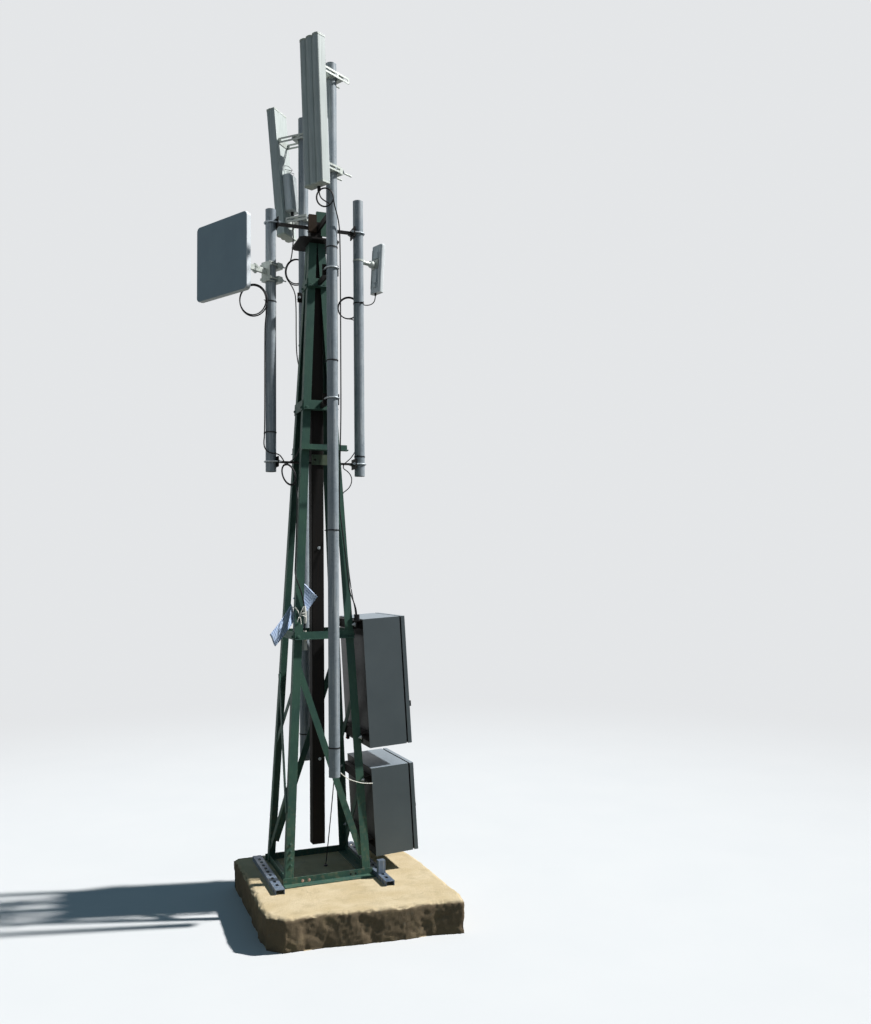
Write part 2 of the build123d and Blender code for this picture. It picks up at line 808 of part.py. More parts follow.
front_bracket_pieces = bracket_set(
    front_pole_place, front_sector_heading, front_brackets, front_sector_bottom, front_sector_standoff,
    sector_tilt["front"], (front_radio_size[1], front_radio_lift, front_radio_size[2]),
)
rear_bracket_pieces = bracket_set(
    rear_pole_place, rear_sector_heading, rear_brackets, rear_sector_bottom, rear_sector_standoff,
    sector_tilt["rear"], None,
)
for sector_name, pieces in (("front", front_bracket_pieces), ("rear", rear_bracket_pieces)):
    with BuildPart() as sector_brackets:
        for piece in pieces:
            add(piece)
    save(sector_brackets, f"{sector_name}_sector_brackets")

# Flat panel antenna and its clamp on the left pole
panel_origin = Vector(-side_pole_offset, 0, pad_top + panel_centre_height)
panel_base = facing_plane(panel_origin, panel_heading)
with BuildPart() as flat_panel:
    face = Plane(panel_base.location * Location((panel_side_shift, panel_standoff, 0), (-90, 0, 0)))
    with BuildSketch(face):
        RectangleRounded(panel_size, panel_size, panel_corner)
    extrude(amount=panel_depth)
    fillet(flat_panel.faces().sort_by(Axis(face.origin, face.z_dir))[-1].edges(), panel_edge_radius)
save(flat_panel, "flat_panel")

clamp_origin = Vector(-side_pole_offset, 0, pad_top + panel_clamp_height)
clamp_base = facing_plane(clamp_origin, panel_heading)
clamp_half_span = panel_clamp_span / 2
web_near = pole_radius + panel_web_gap
web_far = web_near + panel_clamp_sheet
jaw_far = -pole_radius - panel_jaw_reach
panel_bolt_z = clamp_half_span - panel_jaw_depth / 2

with BuildPart(clamp_base) as panel_clamp:
    block((-panel_clamp_half, panel_clamp_half), (0, web_far), (-clamp_half_span, clamp_half_span))
    block(
        (-panel_clamp_half, panel_clamp_half), (0, web_near),
        (-clamp_half_span + panel_clamp_sheet, clamp_half_span - panel_clamp_sheet), mode=Mode.SUBTRACT,
    )
    ear_reach = panel_bolt_offset + 2 * panel_bolt_radius
    for z_sign in (-1, 1):
        z_ear = (z_sign * panel_bolt_z - 2 * panel_bolt_radius, z_sign * panel_bolt_z + 2 * panel_bolt_radius)
        block((-ear_reach, ear_reach), (web_near, web_far), z_ear)
    Cylinder(pole_radius + seat_gap, panel_clamp_span, mode=Mode.SUBTRACT)
    arm_half, arm_rise = panel_arm_size[0] / 2, panel_arm_size[1] / 2
    rail_near = panel_standoff - seat_gap - panel_rail_size[1]
    block((-arm_half, arm_half), (web_far, rail_near), (-arm_rise, arm_rise))
    block(
        (panel_rail_shift - panel_rail_size[0] / 2, panel_rail_shift + panel_rail_size[0] / 2),
        (rail_near, rail_near + panel_rail_size[1]), (-panel_rail_size[2] / 2, panel_rail_size[2] / 2),
    )

with BuildPart(clamp_base) as panel_jaws:
    for z_sign in (-1, 1):
        z_jaw = sorted((z_sign * clamp_half_span, z_sign * (clamp_half_span - panel_jaw_depth)))
        block((-ear_reach, ear_reach), (jaw_far, jaw_notch - pole_radius), z_jaw)
    Cylinder(pole_radius + seat_gap, panel_clamp_span, mode=Mode.SUBTRACT)
    for z_sign in (-1, 1):
        bolt_place = clamp_base.location * Location((0, web_near - seat_gap, z_sign * panel_bolt_z), (90, 0, 0))
        with BuildSketch(Plane(bolt_place)):
            with GridLocations(2 * panel_bolt_offset, 1, 2, 1):
                Circle(panel_bolt_radius)
    extrude(amount=web_near - jaw_far + panel_bolt_tail)

with BuildPart() as panel_bracket:
    add(panel_clamp.part)
    add(panel_jaws.part)
save(panel_bracket, "panel_bracket")

# Small radio and its ball joint on the right pole
radio_foot = Vector(side_pole_offset, 0, pad_top + radio_bottom_height) + heading(radio_heading) * radio_standoff
radio_plane = facing_plane(radio_foot, radio_heading, radians(radio_lean))
with BuildPart() as small_radio:
    with BuildSketch(radio_plane):
        with Locations((0, radio_size[1] / 2)):
            RectangleRounded(radio_size[0], radio_size[1], radio_corner)
    extrude(amount=radio_size[2])
    fillet(small_radio.faces().sort_by(Axis.Z)[-1].edges(), radio_edge_radius)
save(small_radio, "small_radio")

joint_plane = facing_plane(Vector(side_pole_offset, 0, pad_top + ball_joint_height), radio_heading)
with BuildPart(joint_plane) as radio_bracket:
    band_inner = pole_radius + seat_gap
    joint_lift = ball_joint_height - radio_bottom_height
    radio_back = radio_standoff + (joint_lift - ball_radius) * tan(radians(radio_lean)) - seat_gap
    with BuildSketch(joint_plane.offset(-band_height / 2)):
        Circle(band_inner + band_thickness)
    extrude(amount=band_height)
    with BuildSketch(Plane(joint_plane.location * Location((0, 0, 0), (-90, 0, 0)))):
        Circle(ball_stem_radius)
    extrude(amount=radio_back)
    with Locations((0, radio_back - ball_radius - joint_pad_depth, 0)):
        Sphere(ball_radius)
    block(
        (-joint_pad_half, joint_pad_half), (radio_back - joint_pad_depth, radio_back),
        (-ball_radius, ball_radius + joint_pad_rise),
    )
    Cylinder(band_inner, 2 * joint_lift, mode=Mode.SUBTRACT)
save(radio_bracket, "radio_bracket")


def cabinet_plane(height):
    """Foot of a cabinet's back: x outward from the mast, y across, z up along the leaning face."""
    out_x = half_width(height) + cabinet_standoff / lean_cos
    return Plane(origin=(out_x, 0, pad_top + height), x_dir=(cos(lean), 0, sin(lean)), z_dir=(-sin(lean), 0, cos(lean)))


door_near = cabinet_body_depth + door_gap
door_far = door_near + door_depth
hinge_x = cabinet_body_depth + door_gap / 2
hinge_y = cabinet_width / 2 + hinge_offset
half_cabinet = cabinet_width / 2
cabinets = {"upper": upper_cabinet, "lower": lower_cabinet}


def knuckle(plane, z_low, z_high, leaf_span):
    """Half of a hinge: a leaf on the cabinet's side and a knuckle bored for the pin."""
    block(leaf_span, (half_cabinet, half_cabinet + hinge_leaf_thickness), (z_low, z_high))
    with BuildSketch(plane.offset(z_low)) as barrel:
        with Locations((hinge_x, hinge_y)):
            Circle(hinge_radius)
    extrude(barrel.sketch, amount=z_high - z_low)
    with BuildSketch(plane.offset(z_low)) as bore:
        with Locations((hinge_x, hinge_y)):
            Circle(hinge_pin_radius + pin_clearance)
    extrude(bore.sketch, amount=z_high - z_low, mode=Mode.SUBTRACT)


def hinge_heights(height):
    """Heights of a cabinet's two hinges."""
    return (hinge_inset, height - hinge_inset)


for cabinet_name, (foot_height, height) in cabinets.items():
    plane = cabinet_plane(foot_height)
    wall = cabinet_wall
    inner_half = half_cabinet - wall
    lip_half = half_cabinet - cabinet_lip
    with BuildPart(plane) as cabinet_body:
        block((0, cabinet_body_depth), (-half_cabinet, half_cabinet), (0, height))
        block(
            (wall, cabinet_body_depth - wall), (-inner_half, inner_half), (wall, height - wall),
            mode=Mode.SUBTRACT,
        )
        block(
            (cabinet_body_depth - wall, cabinet_body_depth), (-lip_half, lip_half),
            (cabinet_lip, height - cabinet_lip), mode=Mode.SUBTRACT,
        )
        for hinge_height in hinge_heights(height):
            knuckle(plane, hinge_height - hinge_split - hinge_knuckle, hinge_height - hinge_split,
                    (hinge_x - hinge_leaf, hinge_x))
    save(cabinet_body, f"{cabinet_name}_cabinet_body")
    with BuildPart(plane) as cabinet_door:
        lip = door_lip
        block((door_near, door_far), (-half_cabinet, half_cabinet), (0, height))
        block(
            (door_near + wall, door_far - wall), (-inner_half, inner_half), (wall, height - wall),
            mode=Mode.SUBTRACT,
        )
        block(
            (door_near, door_near + wall), (-half_cabinet + lip, half_cabinet - lip), (lip, height - lip),
            mode=Mode.SUBTRACT,
        )
        for hinge_height in hinge_heights(height):
            knuckle(plane, hinge_height + hinge_split, hinge_height + hinge_split + hinge_knuckle,
                    (hinge_x, door_far - wall))
    save(cabinet_door, f"{cabinet_name}_cabinet_door")
    with BuildPart(plane) as door_gasket:
        outer = half_cabinet - gasket_inset
        inner = outer - gasket_width
        x_gasket = (cabinet_body_depth + seat_gap, door_near - gasket_clearance)
        block(x_gasket, (-outer, outer), (gasket_inset, height - gasket_inset))
        block(
            x_gasket, (-inner, inner),
            (gasket_inset + gasket_width, height - gasket_inset - gasket_width), mode=Mode.SUBTRACT,
        )
    save(door_gasket, f"{cabinet_name}_door_gasket")

lock_lifts = {"upper": upper_lock_lift, "lower": lower_lock_lift}
for cabinet_name, lock_lift in lock_lifts.items():
    plane = cabinet_plane(cabinets[cabinet_name][0])
    lock_y = -half_cabinet + lock_inset
    lock_place = plane.location * Location((door_far, lock_y, lock_lift), (0, 90, 0))
    with BuildPart(plane) as door_lock:
        with BuildSketch(Plane(lock_place)):
            Circle(lock_radius)
        extrude(amount=lock_depth)
        if cabinet_name == "upper":
            depth, length, width = lock_wing
            block(
                (door_far + lock_depth, door_far + lock_depth + depth), (lock_y - width / 2, lock_y + width / 2),
                (lock_lift - length / 2, lock_lift + length / 2),
            )
    save(door_lock, f"{cabinet_name}_door_lock")

plate_parts = []
pin_parts = []
rail_parts = []
rail_lifts = {"upper": upper_rail_lifts, "lower": lower_rail_lifts}
for cabinet_name, (foot_height, height) in cabinets.items():
    plane = cabinet_plane(foot_height)
    margin = plate_margin
    with BuildPart(plane) as inner_plate:
        x_plate = (cabinet_wall + plate_spacer, cabinet_wall + plate_spacer + plate_thickness)
        block(x_plate, (-half_cabinet + margin, half_cabinet - margin), (margin, height - margin))
        spacer_place = plane.location * Location((cabinet_wall, 0, height / 2), (0, 90, 0))
        with BuildSketch(Plane(spacer_place)):
            with GridLocations(height - 3 * margin, cabinet_width - 3 * margin, 2, 2):
                Circle(plate_spacer_radius)
        extrude(amount=plate_spacer)
    plate_parts.append(inner_plate.part)
    for hinge_height in hinge_heights(height):
        with BuildPart() as pin:
            with BuildSketch(plane.offset(hinge_height - hinge_split - hinge_knuckle)):
                with Locations((hinge_x, hinge_y)):
                    Circle(hinge_pin_radius)
            extrude(amount=2 * (hinge_split + hinge_knuckle))
        pin_parts.append(pin.part)
    for lift in rail_lifts[cabinet_name]:
        with BuildPart(plane) as rail:
            depth = cabinet_standoff - 2 * seat_gap
            x_rail = (-seat_gap - depth, -seat_gap)
            y_rail = (-cabinet_rail_length / 2, cabinet_rail_length / 2)
            wall = cabinet_rail_wall
            block(x_rail, y_rail, (lift - cabinet_rail_depth / 2, lift + cabinet_rail_depth / 2))
            block(
                (x_rail[0] + wall, x_rail[1] - wall), y_rail,
                (lift - cabinet_rail_depth / 2, lift + cabinet_rail_depth / 2 - wall), mode=Mode.SUBTRACT,
            )
        rail_parts.append(rail.part)

for node_name, solids in (
    ("mounting_plates", plate_parts), ("hinge_pins", pin_parts), ("cabinet_rails", rail_parts),
):
    with BuildPart() as gathered:
        for solid in solids:
            add(solid)
    save(gathered, node_name)


def offsets(origin, steps):
    """Points given as offsets from an origin."""
    return [Vector(origin) + Vector(step) for step in steps]


def beside_leg(x_sign, steps):
    """Points beside a front leg, given as (outside the side face, outside the front face, height)."""
    points = []
    for outside, before, height in steps:
        reach = half_width(height)
        points.append(Vector(x_sign * (reach + outside), -reach - before, pad_top + height))
    return points


def cord(name, points, radius):
    """Round cord along straight runs joined by tangent arcs."""
    runs = [after - before for before, after in zip(points, points[1:])]
    bends = []
    for before, after in zip(runs, runs[1:]):
        turn = radians(before.get_angle(after))
        bends.append(bend_share * min(before.length, after.length) / tan(turn / 2))
    with BuildLine() as route:
        FilletPolyline(*points, radius=bends)
    with BuildSketch(Plane(origin=route.line @ 0, z_dir=route.line % 0)) as section:
        Circle(radius)
    solid = sweep(section.sketch, path=route.line)
    length = sum(edge.length for edge in route.edges())
    share = solid.volume / (pi * radius * radius * length)
    print(f"{name}: length {length:.0f}, tightest bend {min(bends):.0f}, volume share {share:.3f}")


def coil(origin, shape):
    """Closed ring of the outer shape of a cable's coil."""
    centre, major, minor = shape
    with BuildPart(Plane(origin=Vector(origin) + Vector(centre), x_dir=coil_across, z_dir=coil_facing)) as ring:
        Torus(major, minor)
    return ring


def gland(plane, place, size, downward=True):
    """Cable gland on a plane, hanging from it or standing on it."""
    radius, length = size
    with BuildSketch(plane) as foot:
        with Locations(place):
            Circle(radius)
    extrude(foot.sketch, amount=-length if downward else length)


def on_plane(plane, x, y, z=0.0):
    """Point of a plane in the shared frame."""
    return plane.from_local_coords(Vector(x, y, z))


left_high = (-side_pole_offset, 0, pad_top + panel_centre_height)
left_low = (-side_pole_offset, 0, pad_top + low_arm_height)
right_high = (side_pole_offset, 0, pad_top + radio_bottom_height)
right_low = (side_pole_offset, 0, pad_top + low_arm_height)
front_high = (front_pole_place[0], front_pole_place[1], pad_top + front_sector_bottom)
front_low = (front_pole_place[0], front_pole_place[1], pad_top)
rear_high = (rear_pole_place[0], rear_pole_place[1], pad_top + rear_sector_bottom)

panel_gland_y = panel_standoff - gland_size[0] - seat_gap
panel_gland_foot = on_plane(panel_base, panel_gland_shift, panel_gland_y, -panel_gland_drop)
rail_plane = cabinet_plane(upper_cabinet[0]).offset(upper_rail_lifts[1] + cabinet_rail_depth / 2)
rail_gland_x = -cabinet_standoff / 2

with BuildPart() as cable_glands:
    gland(panel_base.offset(-panel_gland_drop), (panel_gland_shift, panel_gland_y), gland_size, downward=False)
    gland(front_sector.offset(-sector_cap_depth), front_gland_place, short_gland_size)
    gland(rear_sector.offset(rear_radio_lift), (0, -rear_radio_size[1] / 2), short_gland_size)
    gland(radio_plane, radio_gland_place, radio_gland_size)
    for rail_gland_y in rail_gland_places.values():
        gland(rail_plane, (rail_gland_x, rail_gland_y), rail_gland_size, downward=False)
    gland(Plane.XY.offset(pad_top), earth_points[-1][:2], earth_clamp_size, downward=False)
    joint_bottom, joint_top = taped_joint_span
    with Locations((*taped_joint_place, pad_top + (joint_bottom + joint_top) / 2)):
        Cone(taped_joint_radii[0], taped_joint_radii[1], joint_top - joint_bottom)
save(cable_glands, "cable_glands")


def into_gland(name):
    """Last two points of a lead that drops into a gland on the cabinet rail."""
    top = rail_gland_size[1]
    return [on_plane(rail_plane, rail_gland_x, rail_gland_places[name], lift) for lift in (top + tail_run, top)]


save(coil(left_high, panel_coil), "panel_coil")
save(coil(front_high, front_coil), "front_sector_coil")
save(coil(rear_high, rear_coil), "rear_sector_coil")
save(coil(right_high, radio_coil), "radio_coil")

hank_plane = Plane(origin=Vector(left_low) + Vector(hank_centre), x_dir=coil_across, z_dir=coil_facing)
with BuildPart() as lead_hank:
    with BuildSketch(hank_plane.offset(-hank_section / 2)):
        SlotOverall(hank_outside[0], hank_outside[1], rotation=hank_turn)
        SlotOverall(
            hank_outside[0] - 2 * hank_section, hank_outside[1] - 2 * hank_section, rotation=hank_turn,
            mode=Mode.SUBTRACT,
        )
    extrude(amount=hank_section)
    fillet(lead_hank.edges().group_by(Axis(hank_plane.origin, hank_plane.z_dir))[0], hank_section / 4)
    fillet(lead_hank.edges().group_by(Axis(hank_plane.origin, hank_plane.z_dir))[-1], hank_section / 4)
save(lead_hank, "lead_hank")

with BuildPart() as panel_cable:
    cord("panel tail", [panel_gland_foot] + offsets(panel_gland_foot, panel_tail), lead_radius)
    cord("panel drop", offsets(left_high, panel_drop_top) + offsets(left_low, panel_drop_foot), lead_radius)
save(panel_cable, "panel_cable")

with BuildPart() as front_sector_cable:
    route_points = offsets(front_high, front_drop_top) + offsets(front_low, front_drop_foot)
    route_points += beside_leg(1, front_leg_run) + into_gland("front")
    cord("front drop", route_points, lead_radius)
save(front_sector_cable, "front_sector_cable")

with BuildPart() as rear_sector_cable:
    rear_gland_foot = on_plane(
        rear_sector, 0, -rear_radio_size[1] / 2, rear_radio_lift - short_gland_size[1],
    )
    cord("rear tail", [rear_gland_foot] + offsets(rear_high, rear_tail), lead_radius)
    cord("rear drop", offsets(rear_high, rear_drop_top) + offsets(left_low, rear_drop_foot), lead_radius)
save(rear_sector_cable, "rear_sector_cable")

with BuildPart() as radio_cable:
    radio_gland_foot = on_plane(radio_plane, *radio_gland_place, -radio_gland_size[1])
    cord("radio tail", [radio_gland_foot] + offsets(right_high, radio_tail), thin_lead_radius)
    route_points = offsets(right_high, radio_drop_top) + offsets(right_low, radio_drop_foot)
    route_points += beside_leg(1, radio_leg_run) + into_gland("radio")
    cord("radio drop", route_points, thin_lead_radius)
save(radio_cable, "radio_cable")

with BuildPart() as leg_lead:
    joint_entry = Vector(*taped_joint_place, pad_top + taped_joint_span[1])
    route_points = offsets(left_low, hank_to_leg) + beside_leg(-1, left_leg_run) + [joint_entry]
    cord("leg lead", route_points, lead_radius)
save(leg_lead, "leg_lead")

with BuildPart() as small_leads:
    cord("earth lead", offsets((0, 0, pad_top), earth_points), thin_lead_radius)
    cord("jumper", offsets((0, 0, pad_top), jumper_points), jumper_radius)
save(small_leads, "small_leads")
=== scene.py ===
"""Looks of a small cell tower: finishes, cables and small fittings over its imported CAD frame.

Metres, +Z up, in the frame's own axes: the front faces -Y and the cabinets hang on the +X side. Heights
called rise are measured from the top of the pad.
"""

import json
import logging
import math
from dataclasses import dataclass
from enum import Enum
from functools import cached_property

import bmesh
import bpy
from mathutils import Matrix, Vector, noise

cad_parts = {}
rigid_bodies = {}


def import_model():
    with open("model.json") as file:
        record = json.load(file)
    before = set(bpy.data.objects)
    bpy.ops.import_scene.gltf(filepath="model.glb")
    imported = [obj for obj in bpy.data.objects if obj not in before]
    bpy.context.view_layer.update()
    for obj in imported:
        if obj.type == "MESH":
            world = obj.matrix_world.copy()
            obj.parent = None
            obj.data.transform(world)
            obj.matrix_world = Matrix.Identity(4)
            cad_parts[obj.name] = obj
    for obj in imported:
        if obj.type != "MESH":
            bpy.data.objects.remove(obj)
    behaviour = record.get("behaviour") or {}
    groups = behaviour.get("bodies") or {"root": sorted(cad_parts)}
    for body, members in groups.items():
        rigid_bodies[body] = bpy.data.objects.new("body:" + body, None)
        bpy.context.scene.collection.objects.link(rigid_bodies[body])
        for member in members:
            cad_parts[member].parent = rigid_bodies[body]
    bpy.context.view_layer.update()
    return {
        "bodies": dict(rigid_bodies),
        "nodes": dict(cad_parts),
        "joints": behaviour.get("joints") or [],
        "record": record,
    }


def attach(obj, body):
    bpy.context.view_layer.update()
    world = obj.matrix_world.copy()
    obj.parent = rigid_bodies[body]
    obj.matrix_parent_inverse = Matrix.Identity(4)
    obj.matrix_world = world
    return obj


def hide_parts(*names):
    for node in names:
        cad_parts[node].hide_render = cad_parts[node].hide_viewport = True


LOG = logging.getLogger("cell_tower")
PAD_TOP = 0.140
MAST = "mast"
FORWARD = (0.0, -1.0, 0.0)
SMOOTH_BELOW = math.radians(40.0)

Node = bpy.types.Node
Socket = bpy.types.NodeSocket
Material = bpy.types.Material
Object = bpy.types.Object
Point = tuple[float, float, float]
Points = tuple[Point, ...]
Floats = tuple[float, ...]
Profile = tuple[tuple[float, float], ...]


class Slot(Enum):
    """The record's finish slots."""

    CONCRETE = "concrete"
    ZINC = "galvanised"
    GREEN = "green_paint"
    PLASTIC = "dark_plastic"
    SHELL = "radio_shell"
    BRACKET = "bracket_metal"
    JACKET = "cable_jacket"


class Pole(Enum):
    """Axis of each antenna pole, as x and y."""

    FRONT = (0.005, -0.290)
    REAR = (0.0, 0.245)
    LEFT = (-0.221, 0.0)
    RIGHT = (0.221, 0.0)


def linear(code: str) -> tuple[float, float, float, float]:
    """Turns an sRGB hex colour to linear light.

    Args:
        code: Six hex digits with a leading hash sign.

    Returns:
        The colour as linear red, green, blue and full alpha.
    """
    parts = [int(code[place:place + 2], 16) / 255 for place in (1, 3, 5)]
    light = [part / 12.92 if part <= 0.04045 else ((part + 0.055) / 1.055) ** 2.4 for part in parts]
    return (light[0], light[1], light[2], 1.0)


def per(millimetres: float) -> float:
    """Scale of a pattern whose grain has this real size, for coordinates in metres."""
    return 1000.0 / millimetres


class Pen:
    """Draws in one node tree, with short ways to the patterns that the finishes share.

    Sizes are in millimetres. A colour is sRGB hex, or the output that feeds it.
    """

    def __init__(self, holder: Material | bpy.types.World) -> None:
        """Clears the tree of a material or a world."""
        holder.use_nodes = True
        self.tree = holder.node_tree
        self.tree.nodes.clear()
        self.shader: Node | None = None

    def add_node(self, kind: str, inputs: dict | None = None, **settings) -> Node:
        """Adds one node with its settings and inputs.

        Args:
            kind: Blender's name of the node type, without its leading ShaderNode.
            inputs: Input name or number to a plain value, or to the output that feeds it.
            **settings: Properties of the node itself.

        Returns:
            The new node.
        """
        node = self.tree.nodes.new(f"ShaderNode{kind}")
        for name, value in settings.items():
            setattr(node, name, value)
        for name, value in (inputs or {}).items():
            self.wire(node, name, value)
        return node

    def wire(self, node: Node, name: str | int, value: object) -> None:
        """Sets an input to a plain value, or links it to the output that feeds it."""
        if isinstance(value, Socket):
            self.tree.links.new(value, node.inputs[name])
        else:
            node.inputs[name].default_value = value

    @cached_property
    def place(self) -> Socket:
        """The object's own coordinates in metres."""
        return self.add_node("TexCoord").outputs["Object"]

    def noise(self, size: float, detail: float = 2.0, at: Socket | None = None, output: int = 0,
              **inputs) -> Socket:
        """Draws soft noise with grains of this size.

        Args:
            size: Size of a grain.
            detail: Number of finer layers.
            at: Coordinates to draw by, or None for the object's own.
            output: 0 for the value, 1 for the colour.
            **inputs: Other inputs of the node.

        Returns:
            The output.
        """
        spot = self.place if at is None else at
        values = {"Vector": spot, "Scale": per(size), "Detail": detail, **inputs}
        return self.add_node("TexNoise", values).outputs[output]

    def cells(self, size: float, at: Socket | None = None, feature: str = "F1") -> Node:
        """Draws cells of this size."""
        values = {"Vector": self.place if at is None else at, "Scale": per(size)}
        return self.add_node("TexVoronoi", values, feature=feature)

    def remap(self, value: Socket, low: float = 0.0, high: float = 1.0, start: float = 0.0, end: float = 1.0,
              **settings) -> Socket:
        """Carries a value from the range low to high over to the range start to end, held at both ends."""
        values = {0: value, 1: low, 2: high, 3: start, 4: end}
        return self.add_node("MapRange", values, **settings).outputs[0]

    def blend(self, share: Socket, first: str | Socket, second: str | Socket) -> Socket:
        """Mixes two colours by the second one's share."""
        tints = [linear(tint) if isinstance(tint, str) else tint for tint in (first, second)]
        return self.add_node("Mix", {0: share, 6: tints[0], 7: tints[1]}, data_type="RGBA").outputs[2]

    def maths(self, first: Socket, second: Socket | float, operation: str = "MULTIPLY", **settings) -> Socket:
        """Combines two values, by their product if nothing else is named."""
        return self.add_node("Math", {0: first, 1: second}, operation=operation, **settings).outputs[0]

    def vectors(self, first: Socket, second: Socket | Point, operation: str = "MULTIPLY",
                output: str = "Vector") -> Socket:
        """Combines two vectors, by their product if nothing else is named."""
        return self.add_node("VectorMath", {0: first, 1: second}, operation=operation).outputs[output]

    def axis(self, vector: Socket, name: str) -> Socket:
        """One axis of a vector."""
        return self.add_node("SeparateXYZ", {0: vector}).outputs[name]

    def red(self, colour: Socket) -> Socket:
        """The red part of a colour, as one random value per cell."""
        return self.add_node("SeparateColor", {0: colour}).outputs[0]

    def normal(self) -> Socket:
        """The normal of the surface in the shared frame."""
        return self.add_node("NewGeometry").outputs["Normal"]

    def own_normal(self) -> Socket:
        """The normal of the surface in the object's own axes."""
        return self.add_node("TexCoord").outputs["Normal"]

    def upward(self) -> Socket:
        """How far a face points up, 1 where it is level."""
        return self.axis(self.normal(), "Z")

    def edges(self, width: float) -> Socket:
        """Finds the sharp edges, where a coating wears first, as a value that is 1 on them."""
        rounded = self.add_node("Bevel", {"Radius": width / 1000}, samples=4)
        turn = self.vectors(rounded.outputs[0], self.normal(), "DOT_PRODUCT", "Value")
        return self.remap(turn, 0.97, 0.80)

    def streaks(self, across: float, along: float) -> Socket:
        """Draws upright streaks of this width and length, as brush hairs and rain leave them."""
        squeezed = self.vectors(self.place, (per(across), per(across), per(along)))
        return self.noise(1000, 3, squeezed)

    def bent(self, size: float, reach: float, detail: float = 2.0) -> Socket:
        """Coordinates bent by soft noise, so that cells drawn by them look grown."""
        cloud = self.noise(size, detail, output=1)
        values = {0: cloud, 1: (reach, reach, reach), 2: self.place}
        return self.add_node("VectorMath", values, operation="MULTIPLY_ADD").outputs[0]

    def feed(self, name: str, value: Socket | float) -> None:
        """Sets an input of the shader."""
        self.wire(self.shader, name, value)

    def relief(self, height: Socket, depth: float) -> None:
        """Bumps the surface by a height pattern with this full depth."""
        values = {"Height": height, "Distance": depth / 1000, "Strength": 1.0}
        self.feed("Normal", self.add_node("Bump", values).outputs[0])


@dataclass(frozen=True)
class Finish:
    """A surface finish. Subclasses draw their own grain, dirt and wear.

    Attributes:
        name: Plain name of the finish.
        colour: Main colour as sRGB hex.
        second: The colour that the main one drifts to.
        roughness: Typical roughness of the dry surface.
        metallic: Share of bare metal, 0 or 1 in most finishes.
        gloss: Strength of the mirror part of a paint or plastic, 0.5 for a clean one.
    """

    name: str
    colour: str
    second: str
    roughness: float
    metallic: float = 0.0
    gloss: float = 0.5

    def make(self) -> Material:
        """Builds the node material."""
        material = bpy.data.materials.new(self.name)
        material.diffuse_color = linear(self.colour)
        pen = Pen(material)
        values = {"Metallic": self.metallic, "Specular IOR Level": self.gloss}
        pen.shader = pen.add_node("BsdfPrincipled", values)
        self.dress(pen)
        pen.add_node("OutputMaterial", {"Surface": pen.shader.outputs[0]})
        return material

    def dress(self, pen: Pen) -> None:
        """Draws the finish."""
        raise NotImplementedError

    def drift(self, pen: Pen, size: float) -> Socket:
        """Mixes the two colours in soft patches of this size."""
        return pen.blend(pen.remap(pen.noise(size, 5), 0.35, 0.65), self.colour, self.second)

    def sheen(self, pen: Pen, value: Socket, below: float, above: float) -> None:
        """Spreads the roughness by a pattern, this far below and above its typical value."""
        pen.feed("Roughness", pen.remap(value, start=self.roughness - below, end=self.roughness + above))


@dataclass(frozen=True)
class BrushedEnamel(Finish):
    """Alkyd enamel brushed on galvanised angle: faint brush lines, chalky patches, and chips on the edges.

    Attributes:
        chip: Colour of the zinc under a chip.
        dust: Colour of the dust that splashes up from the pad.
        splash: Heights between which that dust gathers, in metres.
    """

    chip: str = "#8F9690"
    dust: str = "#8A7D63"
    splash: tuple[float, float] = (0.75, 0.13)

    def dress(self, pen: Pen) -> None:
        """Draws brush lines, mottling, chipped edges and splashed dust."""
        hairs = pen.streaks(across=2.5, along=70)
        brushed = pen.vectors(self.drift(pen, 110), pen.remap(hairs, 0.3, 0.7, 0.86, 1.08))
        nicks = pen.remap(pen.noise(7, 4), 0.56, 0.62)
        bare = pen.blend(pen.maths(nicks, pen.edges(2.5)), brushed, self.chip)
        low = pen.remap(pen.axis(pen.place, "Z"), *self.splash)
        patch = pen.noise(18, 6)
        spots = pen.remap(patch, 0.5, 0.76, end=0.45)
        pen.feed("Base Color", pen.blend(pen.maths(low, spots), bare, self.dust))
        self.sheen(pen, patch, below=0.12, above=0.18)
        pen.relief(hairs, 0.35)


@dataclass(frozen=True)
class HotDipZinc(Finish):
    """Hot-dip galvanised steel: spangle that weathers dull, with white bloom and dark handling marks.

    Attributes:
        spangle: Width of a zinc crystal in millimetres. Real ones are 5 to 15.
        bloom: Colour of the white bloom.
        mark: Colour of the handling marks.
    """

    spangle: float = 11.0
    bloom: str = "#C9CDCB"
    mark: str = "#5C6062"

    def dress(self, pen: Pen) -> None:
        """Draws the crystals, the bloom, rain streaks and a faint grain."""
        grey = pen.red(pen.cells(self.spangle, pen.bent(25, 0.006)).outputs["Color"])
        crystals = pen.vectors(self.drift(pen, 140), pen.remap(grey, start=0.9, end=1.08))
        rain = pen.remap(pen.streaks(across=9, along=260), 0.52, 0.74, end=0.55)
        coat = pen.blend(rain, crystals, self.bloom)
        spots = pen.noise(14, 5)
        pen.feed("Base Color", pen.blend(pen.remap(spots, 0.62, 0.74, end=0.5), coat, self.mark))
        self.sheen(pen, grey, below=0.08, above=0.1)
        pen.relief(spots, 0.12)


